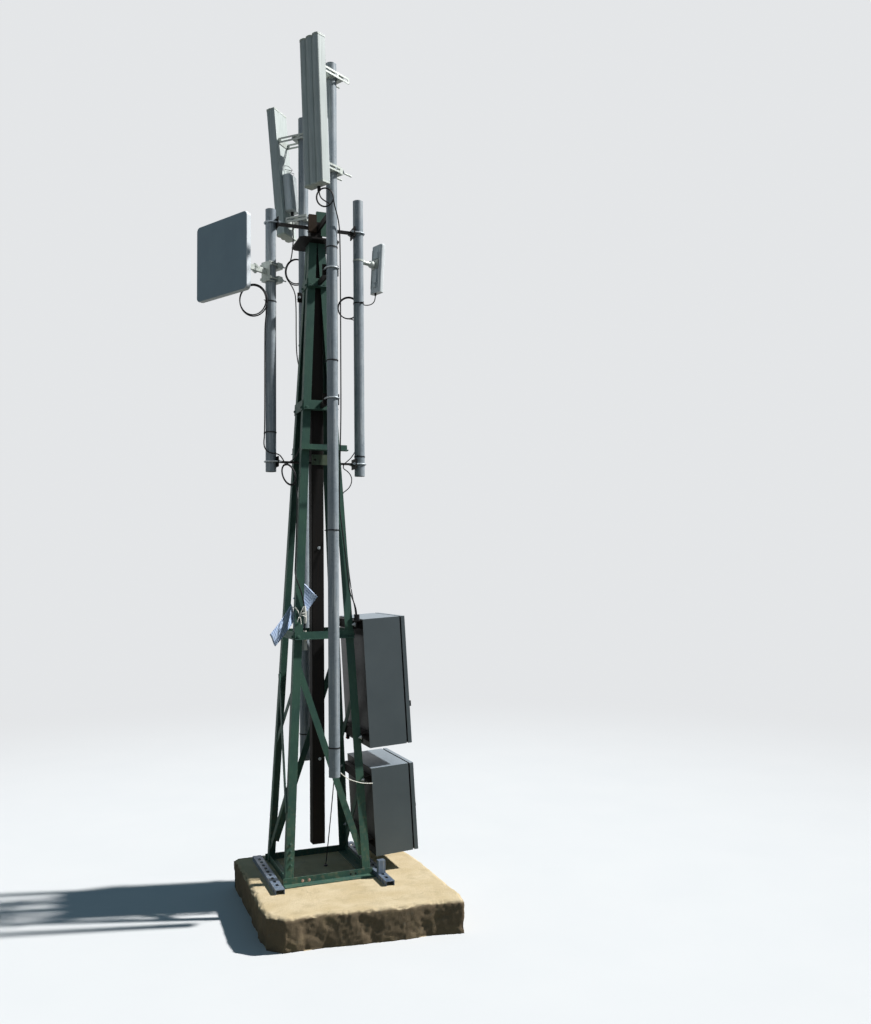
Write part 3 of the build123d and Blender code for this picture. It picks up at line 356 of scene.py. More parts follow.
@dataclass(frozen=True)
class WeatheredPrimer(Finish):
    """Dark red-oxide and black paint on the post and arms: nearly black, with brown bloom and runs.

    Attributes:
        rust: Colour of the rust that shows through.
        scuff: Colour of the steel where an edge is rubbed.
    """

    rust: str = "#4A3223"
    scuff: str = "#7B7A74"

    def dress(self, pen: Pen) -> None:
        """Draws brown patches, runs, pitted rust and pale scuffs."""
        runs = pen.remap(pen.streaks(across=6, along=180), 0.5, 0.78, end=0.6)
        stained = pen.blend(runs, self.drift(pen, 90), self.rust)
        grit = pen.noise(5, 6)
        pits = pen.remap(grit, 0.6, 0.7, end=0.8)
        pen.feed("Base Color", pen.blend(pen.maths(pits, pen.edges(3)), stained, self.scuff))
        self.sheen(pen, grit, below=0.15, above=0.2)
        pen.relief(grit, 0.4)


@dataclass(frozen=True)
class MouldedShell(Finish):
    """Light plastic or glass-fibre shell, moulded or pultruded: chalky, with rain streaks and settled grime.

    Attributes:
        grime: Colour of the dirt.
        dirt: Share of the surface that the grime tints.
        grain: Size of the skin's texture in millimetres.
    """

    grime: str = "#7F8478"
    dirt: float = 0.35
    grain: float = 1.6

    def dress(self, pen: Pen) -> None:
        """Draws the chalky drift, streaks, grime specks and the skin's grain."""
        rain = pen.streaks(across=7, along=320)
        streaked = pen.blend(pen.remap(rain, 0.45, 0.75, end=self.dirt), self.drift(pen, 160), self.grime)
        specks = pen.remap(pen.noise(4, 5), 0.66, 0.74, end=0.5)
        pen.feed("Base Color", pen.blend(specks, streaked, self.grime))
        self.sheen(pen, rain, below=0.1, above=0.2)
        pen.relief(pen.noise(self.grain), 0.06)


@dataclass(frozen=True)
class ShadedFrontPanel(MouldedShell):
    """Pale panel whose front sheet is painted darker as painted shade, told apart from the rim and back by
    the way a surface points.

    Attributes:
        pale_rim: Colour of the rim and the back.
        front: The way the panel faces.
    """

    pale_rim: str = "#DDE3E6"
    front: Point = (-0.866, -0.5, 0.0)

    def drift(self, pen: Pen, size: float) -> Socket:
        """Mixes the front sheet's two darker colours, which carry painted shade, and gives the rim and back
        the pale colour.
        """
        sheet = super().drift(pen, size)
        # The front sheet is darkened as painted shade; the rim and back keep the pale colour
        turn = pen.vectors(pen.own_normal(), self.front, "DOT_PRODUCT", "Value")
        return pen.blend(pen.remap(turn, 0.75, 0.9), self.pale_rim, sheet)


@dataclass(frozen=True)
class PowderCoat(Finish):
    """Polyester powder coat baked on sheet steel: orange peel and rain marks down the sides, tops made pale
    blue-grey by dust and a painted sky reflection, and the faces towards the mast darkened as painted shade.

    Attributes:
        dust: Pale blue-grey of the tops, which stands for settled dust and a painted reflection of the sky.
        back: Near black of the faces that point at the mast, a painted shade.
        washed: Colour of the rain marks.
        rubbed: Colour of the rubbed edges.
    """

    dust: str = "#9AA5AE"
    back: str = "#141617"
    washed: str = "#5C6468"
    rubbed: str = "#9DA3A6"

    def dress(self, pen: Pen) -> None:
        """Draws orange peel, rain marks, dust and a painted sky reflection on the tops, painted shade on the
        faces towards the mast, and rubbed edges.
        """
        # Faces that point at the mast, along -X, turn near black: painted shade
        rear = pen.remap(pen.axis(pen.own_normal(), "X"), -0.8, -0.95)
        tone = pen.blend(rear, self.drift(pen, 200), self.back)
        marks = pen.remap(pen.streaks(across=12, along=240), 0.5, 0.8, end=0.16)
        marked = pen.blend(marks, tone, self.washed)
        powder = pen.noise(9, 6)
        # Tops turn pale blue-grey: settled dust and a painted reflection of the sky
        level = pen.remap(pen.upward(), 0.35, 0.95, end=0.8)
        dust_and_sky_sheen = pen.maths(level, pen.remap(powder, 0.2, 0.7, start=0.5))
        dusted_and_sky_sheened = pen.blend(dust_and_sky_sheen, marked, self.dust)
        pen.feed("Base Color", pen.blend(pen.maths(pen.edges(1.5), 0.45), dusted_and_sky_sheened, self.rubbed))
        self.sheen(pen, powder, below=0.08, above=0.16)
        pen.relief(pen.noise(3.5), 0.08)


@dataclass(frozen=True)
class CastConcrete(Finish):
    """Site-cast concrete: sandy trowelled top, coarse stones and voids in the broken sides, damp stains.

    Attributes:
        side: Colour of the broken sides.
        damp: Colour of the stains.
        crack: Colour of the hairline cracks.
        stones: Darkest and lightest colour of a stone.
    """

    side: str = "#80705A"
    damp: str = "#A08E6C"
    crack: str = "#5A4F3E"
    stones: tuple[str, str] = ("#40382C", "#7C7260")

    def dress(self, pen: Pen) -> None:
        """Draws sand, stones, pores, hairline cracks and stains."""
        broken = pen.remap(pen.upward(), 0.85, 0.4)
        faces = pen.blend(broken, self.drift(pen, 130), self.side)
        sand = pen.noise(2.2, 8, Roughness=0.7)
        sandy = pen.vectors(faces, pen.remap(sand, 0.3, 0.7, 0.8, 1.12))
        stones = pen.cells(17)
        pick = pen.red(stones.outputs["Color"])
        few = pen.remap(pick, 0.72, 0.8, end=0.6)
        shown = pen.maths(pen.maths(few, pen.remap(stones.outputs["Distance"], 0.45, 0.36)), broken)
        stony = pen.blend(shown, sandy, pen.blend(pick, *self.stones))
        stained = pen.blend(pen.remap(pen.noise(75, 7), 0.52, 0.78, end=0.5), stony, self.damp)
        split = pen.cells(420, pen.bent(60, 0.09, 5), "DISTANCE_TO_EDGE").outputs["Distance"]
        pen.feed("Base Color", pen.blend(pen.remap(split, 0.002, 0.0, end=0.5), stained, self.crack))
        pen.feed("Roughness", self.roughness)
        pores = pen.remap(pen.cells(8).outputs["Distance"], 0.0, 0.3, end=0.5)
        pen.relief(pen.maths(sand, pores, "ADD"), 1.6)


@dataclass(frozen=True)
class CableJacket(Finish):
    """Extruded polyethylene or rubber: plain colour, faint extrusion haze, dust along the top.

    Attributes:
        dust: Colour of the dust.
    """

    dust: str = "#77746C"

    def dress(self, pen: Pen) -> None:
        """Draws a slight drift of tone, dust on the upper side and a fine skin."""
        powder = pen.noise(6, 4)
        patchy = pen.maths(pen.remap(pen.upward(), 0.3, 1.0, end=0.35), powder)
        pen.feed("Base Color", pen.blend(patchy, self.drift(pen, 60), self.dust))
        self.sheen(pen, powder, below=0.1, above=0.15)
        pen.relief(powder, 0.05)


@dataclass(frozen=True)
class LaminatedCard(Finish):
    """Printed card in a laminating pouch: glossy, sun-faded, with plain ruled rows and no words.

    Attributes:
        ink: Colour of the rows.
        row: Distance between rows in millimetres.
    """

    ink: str = "#3D5888"
    row: float = 11.0

    def dress(self, pen: Pen) -> None:
        """Draws faded rows along the card by its own flat coordinates, under a gloss film."""
        flat = pen.add_node("UVMap").outputs[0]
        # A wave of scale 1 repeats every tenth of pi
        waves = {"Vector": flat, "Scale": per(self.row) * math.pi / 10}
        rows = pen.add_node("TexWave", waves, bands_direction="Y").outputs["Fac"]
        gaps = pen.noise(30, 1, flat)
        printed = pen.maths(pen.remap(rows, 0.72, 0.9), pen.remap(gaps, 0.42, 0.5, end=0.75))
        pen.feed("Base Color", pen.blend(printed, self.drift(pen, 45), self.ink))
        for name, value in (("Roughness", self.roughness), ("Coat Weight", 0.6), ("Coat Roughness", 0.15)):
            pen.feed(name, value)
        pen.relief(gaps, 0.3)


class Finishes:
    """Every finish of the tower, made once and shared by the pieces."""

    def __init__(self) -> None:
        """Makes the materials."""
        # Dusty enamel takes the sheen off, so the green stays deep beside the zinc
        self.green = BrushedEnamel("green_enamel", "#34524A", "#3F5F50", 0.55, gloss=0.25).make()
        # Old zinc is a cold grey with little mirror left, and pale where rain leaves bloom
        self.pole = HotDipZinc("weathered_zinc", "#7F8990", "#8D959A", 0.55, 0.15, 0.35).make()
        # The struts lie under the sky's light, so their zinc is tinted blue-grey as a painted reflection of
        # the sky
        self.strut = HotDipZinc("strut_sky_tinted", "#54647B", "#6D7B8C", 0.45, 0.3, 0.4).make()
        # Newer zinc on bolts and brackets has small crystals and catches the light
        self.zinc = HotDipZinc("bright_zinc", "#98A2AA", "#B0B6B8", 0.42, 0.5, spangle=7.0).make()
        self.bracket = HotDipZinc("bracket_zinc", "#A9AFA8", "#C2C7BF", 0.42, 0.25, spangle=6.0).make()
        # Nearly black: dark paint on the post and arms, darkened further as painted shade, since the post,
        # arms, head plate and cabinet rails sit in the mast's shadow
        self.dark = WeatheredPrimer("dark_primer_and_shade", "#100F0E", "#171513", 0.6, gloss=0.15,
                                    rust="#241A14").make()
        # Thin primers let the plate and the packing show as dull olive, pink and brown
        self.olive = WeatheredPrimer("olive_primer", "#5F6F5C", "#53624F", 0.6, gloss=0.25,
                                    rust="#5A5040").make()
        self.rust = WeatheredPrimer("rusted_iron", "#3F332A", "#33291F", 0.8, gloss=0.2,
                                    rust="#55351F").make()
        self.primed = WeatheredPrimer("pink_primer", "#B79A8C", "#A78A7B", 0.6, gloss=0.3,
                                      rust="#7A5C4B").make()
        # Glass fibre and painted housings go chalky, so they are pale and soft rather than glossy
        self.radome = MouldedShell("pultruded_radome", "#C3CAC6", "#B7BFBB", 0.5, gloss=0.35).make()
        self.cap = MouldedShell("moulded_cap", "#D9DED8", "#B4BBA9", 0.45, gloss=0.35, dirt=0.3).make()
        self.shell = MouldedShell("painted_housing", "#E2E6E6", "#D3D8D8", 0.4, gloss=0.4, dirt=0.2).make()
        # The flat panel's front sheet is darkened as painted shade
        self.panel = ShadedFrontPanel("moulded_panel", "#8FA3AC", "#889CA6", 0.5, gloss=0.3, grime="#8A969C",
                                  dirt=0.1).make()
        # Powder coat keeps a soft sheen that shows the bend of each edge
        self.cabinet = PowderCoat("powder_coat", "#525B5E", "#586164", 0.4, gloss=0.4).make()
        # Sandy concrete is matt, warm on top and dark in its broken sides
        self.concrete = CastConcrete("cast_concrete", "#D6C4A2", "#C8B48E", 0.92, gloss=0.15).make()
        # Rubber and polyethylene are black with a grey haze, and tape is off-white with grime
        self.rubber = CableJacket("seal_rubber", "#0C0D0D", "#121313", 0.7, gloss=0.2).make()
        self.jacket = CableJacket("cable_jacket", "#0B0C0E", "#121316", 0.5, gloss=0.25,
                                  dust="#3A3935").make()
        self.tape = CableJacket("white_tape", "#E6E5DD", "#D2D0C4", 0.5, dust="#A8A395").make()
        # A laminated card shines, and faded print leaves it pale blue
        self.card = LaminatedCard("laminated_card", "#CFE0FA", "#BFD3F4", 0.35, gloss=0.3).make()
        # A moulded lens is smooth and deep red
        self.lens = CableJacket("red_lens", "#E02A2A", "#C01C1C", 0.25, dust="#C01C1C").make()


class Shape:
    """One piece while it is built: a bmesh and the forms that the fittings share."""

    def __init__(self, name: str) -> None:
        """Starts an empty piece with this name."""
        self.name = name
        self.mesh = bmesh.new()

    def skin(self, rings: list[list]) -> None:
        """Joins rings of corners into a closed skin with flat ends."""
        for low, high in zip(rings, rings[1:]):
            for step in range(len(low)):
                after = (step + 1) % len(low)
                self.mesh.faces.new((low[step], low[after], high[after], high[step]))
        self.mesh.faces.new(list(reversed(rings[0])))
        self.mesh.faces.new(rings[-1])

    def turned(self, profile: Profile, place: Matrix, sides: int = 20) -> None:
        """Turns a profile about the local z axis.

        Args:
            profile: Radius and height of each ring, from the bottom to the top.
            place: Where the local origin and axes are.
            sides: Number of sides, 6 for a hexagon.
        """
        turns = [2 * math.pi * step / sides for step in range(sides)]
        self.skin([
            [self.mesh.verts.new(place @ Vector((radius * math.cos(turn), radius * math.sin(turn), height)))
             for turn in turns]
            for radius, height in profile
        ])

    def block(self, size: Point, place: Matrix, edge: float) -> None:
        """Adds a block with broken edges, centred on the local origin."""
        made = bmesh.ops.create_cube(self.mesh, size=1.0, matrix=place @ Matrix.Diagonal((*size, 1.0)))
        sides = list(dict.fromkeys(side for corner in made["verts"] for side in corner.link_edges))
        bmesh.ops.bevel(self.mesh, geom=sides, offset=edge, segments=2, affect="EDGES")

    def sweep(self, points: Points, radius: float, sides: int = 8) -> None:
        """Carries a round section along a path.

        Args:
            points: Points of the centre line.
            radius: Radius of the section.
            sides: Number of sides of the section.
        """
        path = [Vector(point) for point in points]
        turns = [2 * math.pi * step / sides for step in range(sides)]
        rings = []
        side = None
        for number, point in enumerate(path):
            before = path[max(number - 1, 0)]
            after = path[min(number + 1, len(path) - 1)]
            ahead = (after - before).normalized()
            if side is None:
                side = ahead.orthogonal().normalized()
            side = (side - ahead * side.dot(ahead)).normalized()
            up = ahead.cross(side)
            rings.append([self.mesh.verts.new(point + (side * math.cos(turn) + up * math.sin(turn)) * radius)
                          for turn in turns])
        self.skin(rings)

    def bolt(self, point: Point, axis: Point, across: float, stud: float = 0.0) -> None:
        """Adds a hexagon head or nut on its washer, in a standard bolt's proportions.

        Args:
            point: Where the washer meets the surface.
            axis: The way that the head points.
            across: Width across the hexagon's flats.
            stud: How far a threaded end stands out of the nut.
        """
        place = facing(point, axis)
        radius = across / math.sqrt(3)
        base = across * 0.12
        head = across * 0.55
        self.turned([(across * 0.82, 0.0), (across * 0.86, base * 0.5), (across * 0.8, base)], place)
        self.turned([(radius, base), (radius, base + head * 0.82), (radius * 0.84, base + head)], place, 6)
        if stud:
            reach = base + head + stud
            thread = across * 0.27
            end = [(thread, base + head * 0.9), (thread, reach - 0.001), (across * 0.2, reach)]
            self.turned(end, place, 12)

    def wrap(self, point: Point, axis: Point, radius: float, strap: tuple[float, float, float],
             turn: float) -> None:
        """Adds a cable tie round something, with its head and cut tail.

        Args:
            point: Centre of the loop.
            axis: Axis of the loop.
            radius: Inner radius of the loop.
            strap: Width and thickness of the strap, and length of the tail beyond the head.
            turn: Angle of the head round the loop, in degrees.
        """
        width, thick, tail = strap
        place = facing(point, axis)
        outer = radius + thick
        half = width / 2
        self.turned([(radius, -half), (outer, -half), (outer, half), (radius, half)], place, 28)
        head = place @ Matrix.Rotation(math.radians(turn), 4, "Z")
        head = head @ Matrix.Translation((outer + 0.0015, 0, 0))
        self.block((0.005, 0.0075, width * 1.5), head, 0.0006)
        tip = head @ Matrix.Translation((0.001 + tail / 2, 0.001, 0)) @ Matrix.Rotation(0.3, 4, "Z")
        self.block((tail, 0.0012, width * 0.8), tip, 0.0003)

    def data(self) -> bpy.types.Mesh:
        """Turns the bmesh into mesh data."""
        data = bpy.data.meshes.new(self.name)
        self.mesh.to_mesh(data)
        self.mesh.free()
        return data

    def done(self, finish: Material) -> None:
        """Turns the bmesh into a piece on the mast, with its sharp edges kept."""
        bmesh.ops.recalc_face_normals(self.mesh, faces=self.mesh.faces)
        data = smoothed(self.data())
        data.set_sharp_from_angle(angle=SMOOTH_BELOW)
        placed(self.name, data, finish)


def smoothed(data: bpy.types.Mesh) -> bpy.types.Mesh:
    """Sets every face of a mesh to smooth shading."""
    data.polygons.foreach_set("use_smooth", [True] * len(data.polygons))
    return data


def link(name: str, data: bpy.types.ID) -> Object:
    """Puts an object with this data in the scene."""
    piece = bpy.data.objects.new(name, data)
    bpy.context.scene.collection.objects.link(piece)
    return piece


def placed(name: str, data: bpy.types.ID, finish: Material) -> Object:
    """Adds a piece of the mast, gives it its finish and reports it.

    Args:
        name: Name of the piece.
        data: Its mesh or curve.
        finish: Its material.

    Returns:
        The new object.
    """
    piece = link(name, data)
    data.materials.append(finish)
    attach(piece, MAST)
    LOG.info("piece %s on %s", piece.name, MAST)
    return piece


def facing(point: Point, axis: Point) -> Matrix:
    """Placement at a point with the local z axis along the given axis."""
    return Matrix.Translation(point) @ Vector(axis).to_track_quat("Z", "Y").to_matrix().to_4x4()


def by_axes(x: Vector, y: Vector, z: Vector, origin: Point) -> Matrix:
    """Placement with these local axes."""
    return Matrix((*zip(x, y, z, origin), (0.0, 0.0, 0.0, 1.0)))


def standing(foot: Point, across: Point, upright: Point) -> Matrix:
    """Placement with local x across a back, local z up it and local y out of it."""
    side = Vector(across).normalized()
    up = Vector(upright).normalized()
    return by_axes(side, up.cross(side), up, foot)


def heading(azimuth: float) -> Vector:
    """Level unit vector at an angle in degrees from +Y, turning towards +X."""
    return Vector((math.sin(math.radians(azimuth)), math.cos(math.radians(azimuth)), 0.0))


@dataclass(frozen=True)
class Photographer:
    """The camera that took the photograph, found from the tower's own edges.

    Attributes:
        place: Where it stands.
        yaw: Angle of its view from +Y towards +X, in radians.
        pitch: Angle above the horizon, in radians.
        roll: Turn about its own axis, in radians.
        focal: Focal length in millimetres, on a sensor of the height below.
        sensor: Height of the sensor in millimetres.
    """

    place: Point = (-1.131, -4.434, 1.541)
    yaw: float = 0.3766
    pitch: float = 0.0614
    roll: float = 0.0117
    focal: float = 21.957
    sensor: float = 24.0

    def make(self) -> None:
        """Adds the camera and makes it the scene's own."""
        ahead = Vector((math.sin(self.yaw) * math.cos(self.pitch), math.cos(self.yaw) * math.cos(self.pitch),
                        math.sin(self.pitch)))
        level = Vector((math.cos(self.yaw), -math.sin(self.yaw), 0.0))
        upright = level.cross(ahead)
        right = level * math.cos(self.roll) - upright * math.sin(self.roll)
        up = level * math.sin(self.roll) + upright * math.cos(self.roll)
        data = bpy.data.cameras.new("camera")
        data.sensor_fit = "VERTICAL"
        data.sensor_height = self.sensor
        data.lens = self.focal
        data.clip_end = 100.0
        camera = link("camera", data)
        camera.matrix_world = by_axes(right, up, -ahead, self.place)
        bpy.context.scene.camera = camera


@dataclass(frozen=True)
class Studio:
    """Plain pale floor, with hard light high from the front right as on the day.

    Attributes:
        key: Where the main light hangs. Its rays are parallel, so this moves no shadow.
        toward: The way from the tower to the main light.
        key_power: Strength of the main light in watts per square metre.
        key_angle: Its width as seen from the tower, in degrees.
        fill: Place of the weak lamp on the other side.
        fill_power: Its power in watts.
        fill_size: Width of that lamp.
        aim: The point that it shines at.
        ambient: Level of the even light from all round.
        background: Level of the background to the eye and in reflections.
        air: Colour of the background.
        fade: Distances between which the floor turns into the background.
        floor_half: Half width of the floor.
    """

    key: Point = (3.0, -4.0, 8.0)
    toward: Point = (0.69, -0.19, 0.70)
    key_power: float = 5.7
    key_angle: float = 2.5
    fill: Point = (-6.5, -4.0, 4.0)
    fill_power: float = 12.0
    fill_size: float = 4.0
    aim: Point = (0.0, 0.0, 1.9)
    ambient: float = 0.15
    background: float = 0.86
    air: str = "#F4F6F8"
    fade: tuple[float, float] = (1.5, 7.0)
    floor_half: float = 60.0

    def make(self) -> None:
        """Adds the floor, the lamps and the world."""
        bpy.context.scene.view_settings.view_transform = "Standard"
        self.floor()
        sun = bpy.data.lights.new("key_lamp", "SUN")
        sun.energy = self.key_power
        sun.angle = math.radians(self.key_angle)
        self.hang(sun, self.key, self.toward)
        fill = bpy.data.lights.new("fill_lamp", "AREA")
        fill.energy = self.fill_power
        fill.size = self.fill_size
        self.hang(fill, self.fill, Vector(self.fill) - Vector(self.aim))
        self.world()

    def hang(self, data: bpy.types.Light, place: Point, away: Point) -> None:
        """Places a lamp that shines opposite to the direction given."""
        link(data.name, data).matrix_world = facing(place, away)

    def rays(self, pen: Pen, *kinds: str) -> Socket:
        """Value that is 1 for these kinds of ray and 0 for the others."""
        path = pen.add_node("LightPath")
        total = path.outputs[f"Is {kinds[0]} Ray"]
        for kind in kinds[1:]:
            total = pen.maths(total, path.outputs[f"Is {kind} Ray"], "ADD", use_clamp=True)
        return total

    def floor(self) -> None:
        """Lays the floor: pale to the eye, darker as a reflector, and lost in the background far off."""
        half = self.floor_half
        sheet = Shape("floor")
        corners = ((-half, -half), (half, -half), (half, half), (-half, half))
        sheet.mesh.faces.new([sheet.mesh.verts.new((x, y, 0.0)) for x, y in corners])
        floor = link("floor", sheet.data())
        material = bpy.data.materials.new("pale_floor")
        pen = Pen(material)
        tone = pen.blend(pen.noise(500, 3), "#D3D4D4", "#D9D9D8")
        seen = pen.blend(self.rays(pen, "Camera"), "#6E6F68", tone)
        values = {"Base Color": seen, "Roughness": 0.9, "Specular IOR Level": 0.1}
        shader = pen.add_node("BsdfPrincipled", values)
        away = pen.add_node("VectorMath", {0: pen.place}, operation="LENGTH").outputs["Value"]
        far = pen.remap(away, *self.fade, interpolation_type="SMOOTHSTEP")
        level = pen.remap(self.rays(pen, "Camera", "Glossy"), start=self.ambient, end=self.background)
        air = pen.add_node("Emission", {"Color": linear(self.air), "Strength": level})
        joined = pen.add_node("MixShader", {0: far, 1: shader.outputs[0], 2: air.outputs[0]})
        pen.add_node("OutputMaterial", {"Surface": joined.outputs[0]})
        floor.data.materials.append(material)

    def world(self) -> None:
        """Gives an even cool light, and a pale background to the eye, reflections and glass."""
        world = bpy.data.worlds.new("studio")
        bpy.context.scene.world = world
        pen = Pen(world)
        seen = self.rays(pen, "Camera", "Glossy", "Transmission")
        level = pen.remap(seen, start=self.ambient, end=self.background)
        tint = pen.blend(seen, "#A0D8FA", self.air)
        light = pen.add_node("Background", {"Color": tint, "Strength": level})
        pen.add_node("OutputWorld", {"Surface": light.outputs[0]})


@dataclass(frozen=True)
class Coil:
    """A loose coil of cable in an upright plane that faces the front left.

    Attributes:
        centre: Middle of the coil.
        width: Half its width.
        height: Half its height.
        start: Angle of its first point in degrees, from the level direction.
        turns: Number of turns, less than zero to wind clockwise.
        spread: How far the turns fan out, front to back.
        lean: Turn of the whole coil in its plane, in degrees.
        across: Level direction of the plane.
        steps: Corner points to a turn.
    """

    centre: Point
    width: float
    height: float
    start: float
    turns: float
    spread: float = 0.012
    lean: float = 0.0
    across: Point = (0.93, -0.37, 0.0)
    steps: int = 14

    def points(self) -> list[Point]:
        """Gives the coil's corner points, with a slow swell so that no two turns lie alike."""
        side = Vector(self.across).normalized()
        up = Vector((0.0, 0.0, 1.0))
        out = side.cross(up)
        lean = math.radians(self.lean)
        count = round(abs(self.turns) * self.steps)
        points = []
        for step in range(count + 1):
            share = step / count
            turn = math.radians(self.start) + 2 * math.pi * self.turns * share
            swell = 1.03 + 0.05 * math.sin(7.0 * share + self.start)
            wide = self.width * swell * math.cos(turn)
            high = self.height * swell * math.sin(turn)
            level = wide * math.cos(lean) - high * math.sin(lean)
            rise = wide * math.sin(lean) + high * math.cos(lean)
            spot = Vector(self.centre) + side * level + up * rise + out * (self.spread * (share - 0.5))
            points.append(tuple(spot))
        return points


@dataclass(frozen=True)
class Lead:
    """One captive cable, a smooth line through the corner points of its route in CAD.

    Attributes:
        name: Name of the piece.
        nodes: The CAD nodes that it stands for.
        radius: Radius of the cable.
        tail: Corner points from its gland to its coil.
        coil: Its coil, if it has one.
        drop: Corner points from there to its far end.
        finish: Name of its finish.
    """

    name: str
    nodes: tuple[str, ...]
    radius: float
    tail: Points = ()
    coil: Coil | None = None
    drop: Points = ()
    finish: str = "jacket"

    def make(self, finishes: Finishes) -> None:
        """Lays the cable."""
        points = [*self.tail, *(self.coil.points() if self.coil else ()), *self.drop]
        data = bpy.data.curves.new(self.name, "CURVE")
        data.dimensions = "3D"
        spline = data.splines.new("NURBS")
        spline.points.add(len(points) - 1)
        for control, point in zip(spline.points, points):
            control.co = (*point, 1.0)
        spline.order_u = 3
        spline.use_endpoint_u = True
        spline.resolution_u = 6
        data.bevel_depth = self.radius
        data.bevel_resolution = 3
        data.use_fill_caps = True
        cable = placed(self.name, data, getattr(finishes, self.finish))
        if self.nodes:
            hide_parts(*self.nodes)


def route(rows: str) -> Points:
    """Reads points from rows of three millimetre lengths, parted by commas."""
    return tuple(tuple(float(length) / 1000 for length in row.split()) for row in rows.split(","))


LEADS = (
    # From the panel's gland, round its coil, down the left pole and into the hank
    Lead(
        "panel_lead", ("panel_cable", "panel_coil"), 0.003,
        route("-394.9 -32.3 2931, -393.9 -30.3 2909, -379.9 -17.3 2892, -358.9 -5.3 2890"),
        Coil((-0.308, -0.012, 2.839), 0.064, 0.074, 120, -2.333),
        route("-247.5 -31 2785, -250.5 -15 2738, -250.8 -3 2685, -250.6 -2.6 2200, -258 -8 2150, "
              "-252 -24 2118, -232 -39 2102, -205 -47 2100, -180 -44 2090, -160 -30 2056"),
    ),
    # From the front antenna's foot, round its coil, down the pole and the leg to the rail's gland
    Lead(
        "front_lead", ("front_sector_cable", "front_sector_coil"), 0.003,
        route("-65 -330.4 3285.6, -64 -328 3268, -48 -322 3250"),
        Coil((-0.041, -0.341, 3.254), 0.038, 0.043, -45, -1.875, 0.010),
        route("1 -352 3222, 14 -341 3190, 30 -322 3155, 40.8 -304.2 3100, 41.3 -304.6 2754, "
              "40.8 -304.2 2400, 46 -285 2300, 56 -245 2215, 66 -200 2130, 75 -160 2040, 80 -136 1950, "
              "82 -118 1860, 88 -117.5 1800, 100 -122 1700, 111 -128.5 1600, 118 -133 1520, 125 -137.5 1440, "
              "138 -150 1402, 151.2 -160 1359.2, 152.5 -160 1334.3"),
    ),
    # From the rear radio, round its coil, down the rear pole, through the mast and into the hank
    Lead(
        "rear_lead", ("rear_sector_cable", "rear_sector_coil"), 0.003,
        route("-46.3 289.7 3394.7, -45 290 3335, -42 291 3275, -46 296 3215"),
        Coil((-0.027, 0.295, 3.100), 0.054, 0.066, 120, 2.32),
        route("-40 297 3006, -36 275 2969, -38.6 255 2925, -38.4 249 2871, -38.9 249.5 2700, -36 235 2620, "
              "-33 190 2560, -31 130 2500, -31 85 2450, -40 45 2400, -46 5 2345, -56 -18 2260, -78 -30 2160, "
              "-102 -33 2095, -130 -31 2066, -156 -29 2052"),
    ),
    # From the small radio, round its coil, down the right pole and the leg to the rail's gland
    Lead(
        "radio_lead", ("radio_cable", "radio_coil"), 0.0025,
        route("321.6 36.6 2935.5, 320.5 37 2910, 303 41 2889, 272 44 2882, 245 41 2888"),
        Coil((0.184, 0.051, 2.862), 0.052, 0.054, 40, 2.639, 0.009),
        route("205 43 2804, 219 33 2790, 221 29.3 2740, 221 29.6 2460, 221 29.3 2190, 212 32 2140, "
              "188 28 2102, 165 26 2082, 146 24 2066, 140 14 2044, 158 2 2031, 176 -3 2009, 180 -4 1981, "
              "170 -4 1953, 150 -6 1934, 128 -12 1920, 118 -30 1860, 121 -60 1760, 127 -85 1640, "
              "133 -105 1520, 142 -125 1420, 151.2 -142 1359.2, 152.5 -142 1334.3"),
    ),
    # The spare length in its hank, and then down the front left leg to the taped joint
    Lead(
        "hank_lead", ("lead_hank", "leg_lead"), 0.003, (),
        Coil((-0.142, -0.034, 2.002), 0.029, 0.051, 100, -3.361, 0.012, 20),
        route("-112 -66 1950, -113 -88 1880, -129 -108 1570, -135 -124.5 1530, -127 -137 1495, "
              "-106 -139 1440, -93 -142 1375, -89 -138 1320, -89 -127 1285, -89 -125 1262"),
    ),
    Lead("earth_lead", ("small_leads",), 0.0025, route("38 -165.3 588, 41 -82 362, 40 0 146")),
    # The white jumper, from the front pole's foot to the lower cabinet
    Lead(
        "jumper_lead", (), 0.002,
        route("34.5 -284 632, 62 -272 604, 115 -240 577, 165 -214 557, 212 -202.3 552"),
        finish="tape",
    ),
)


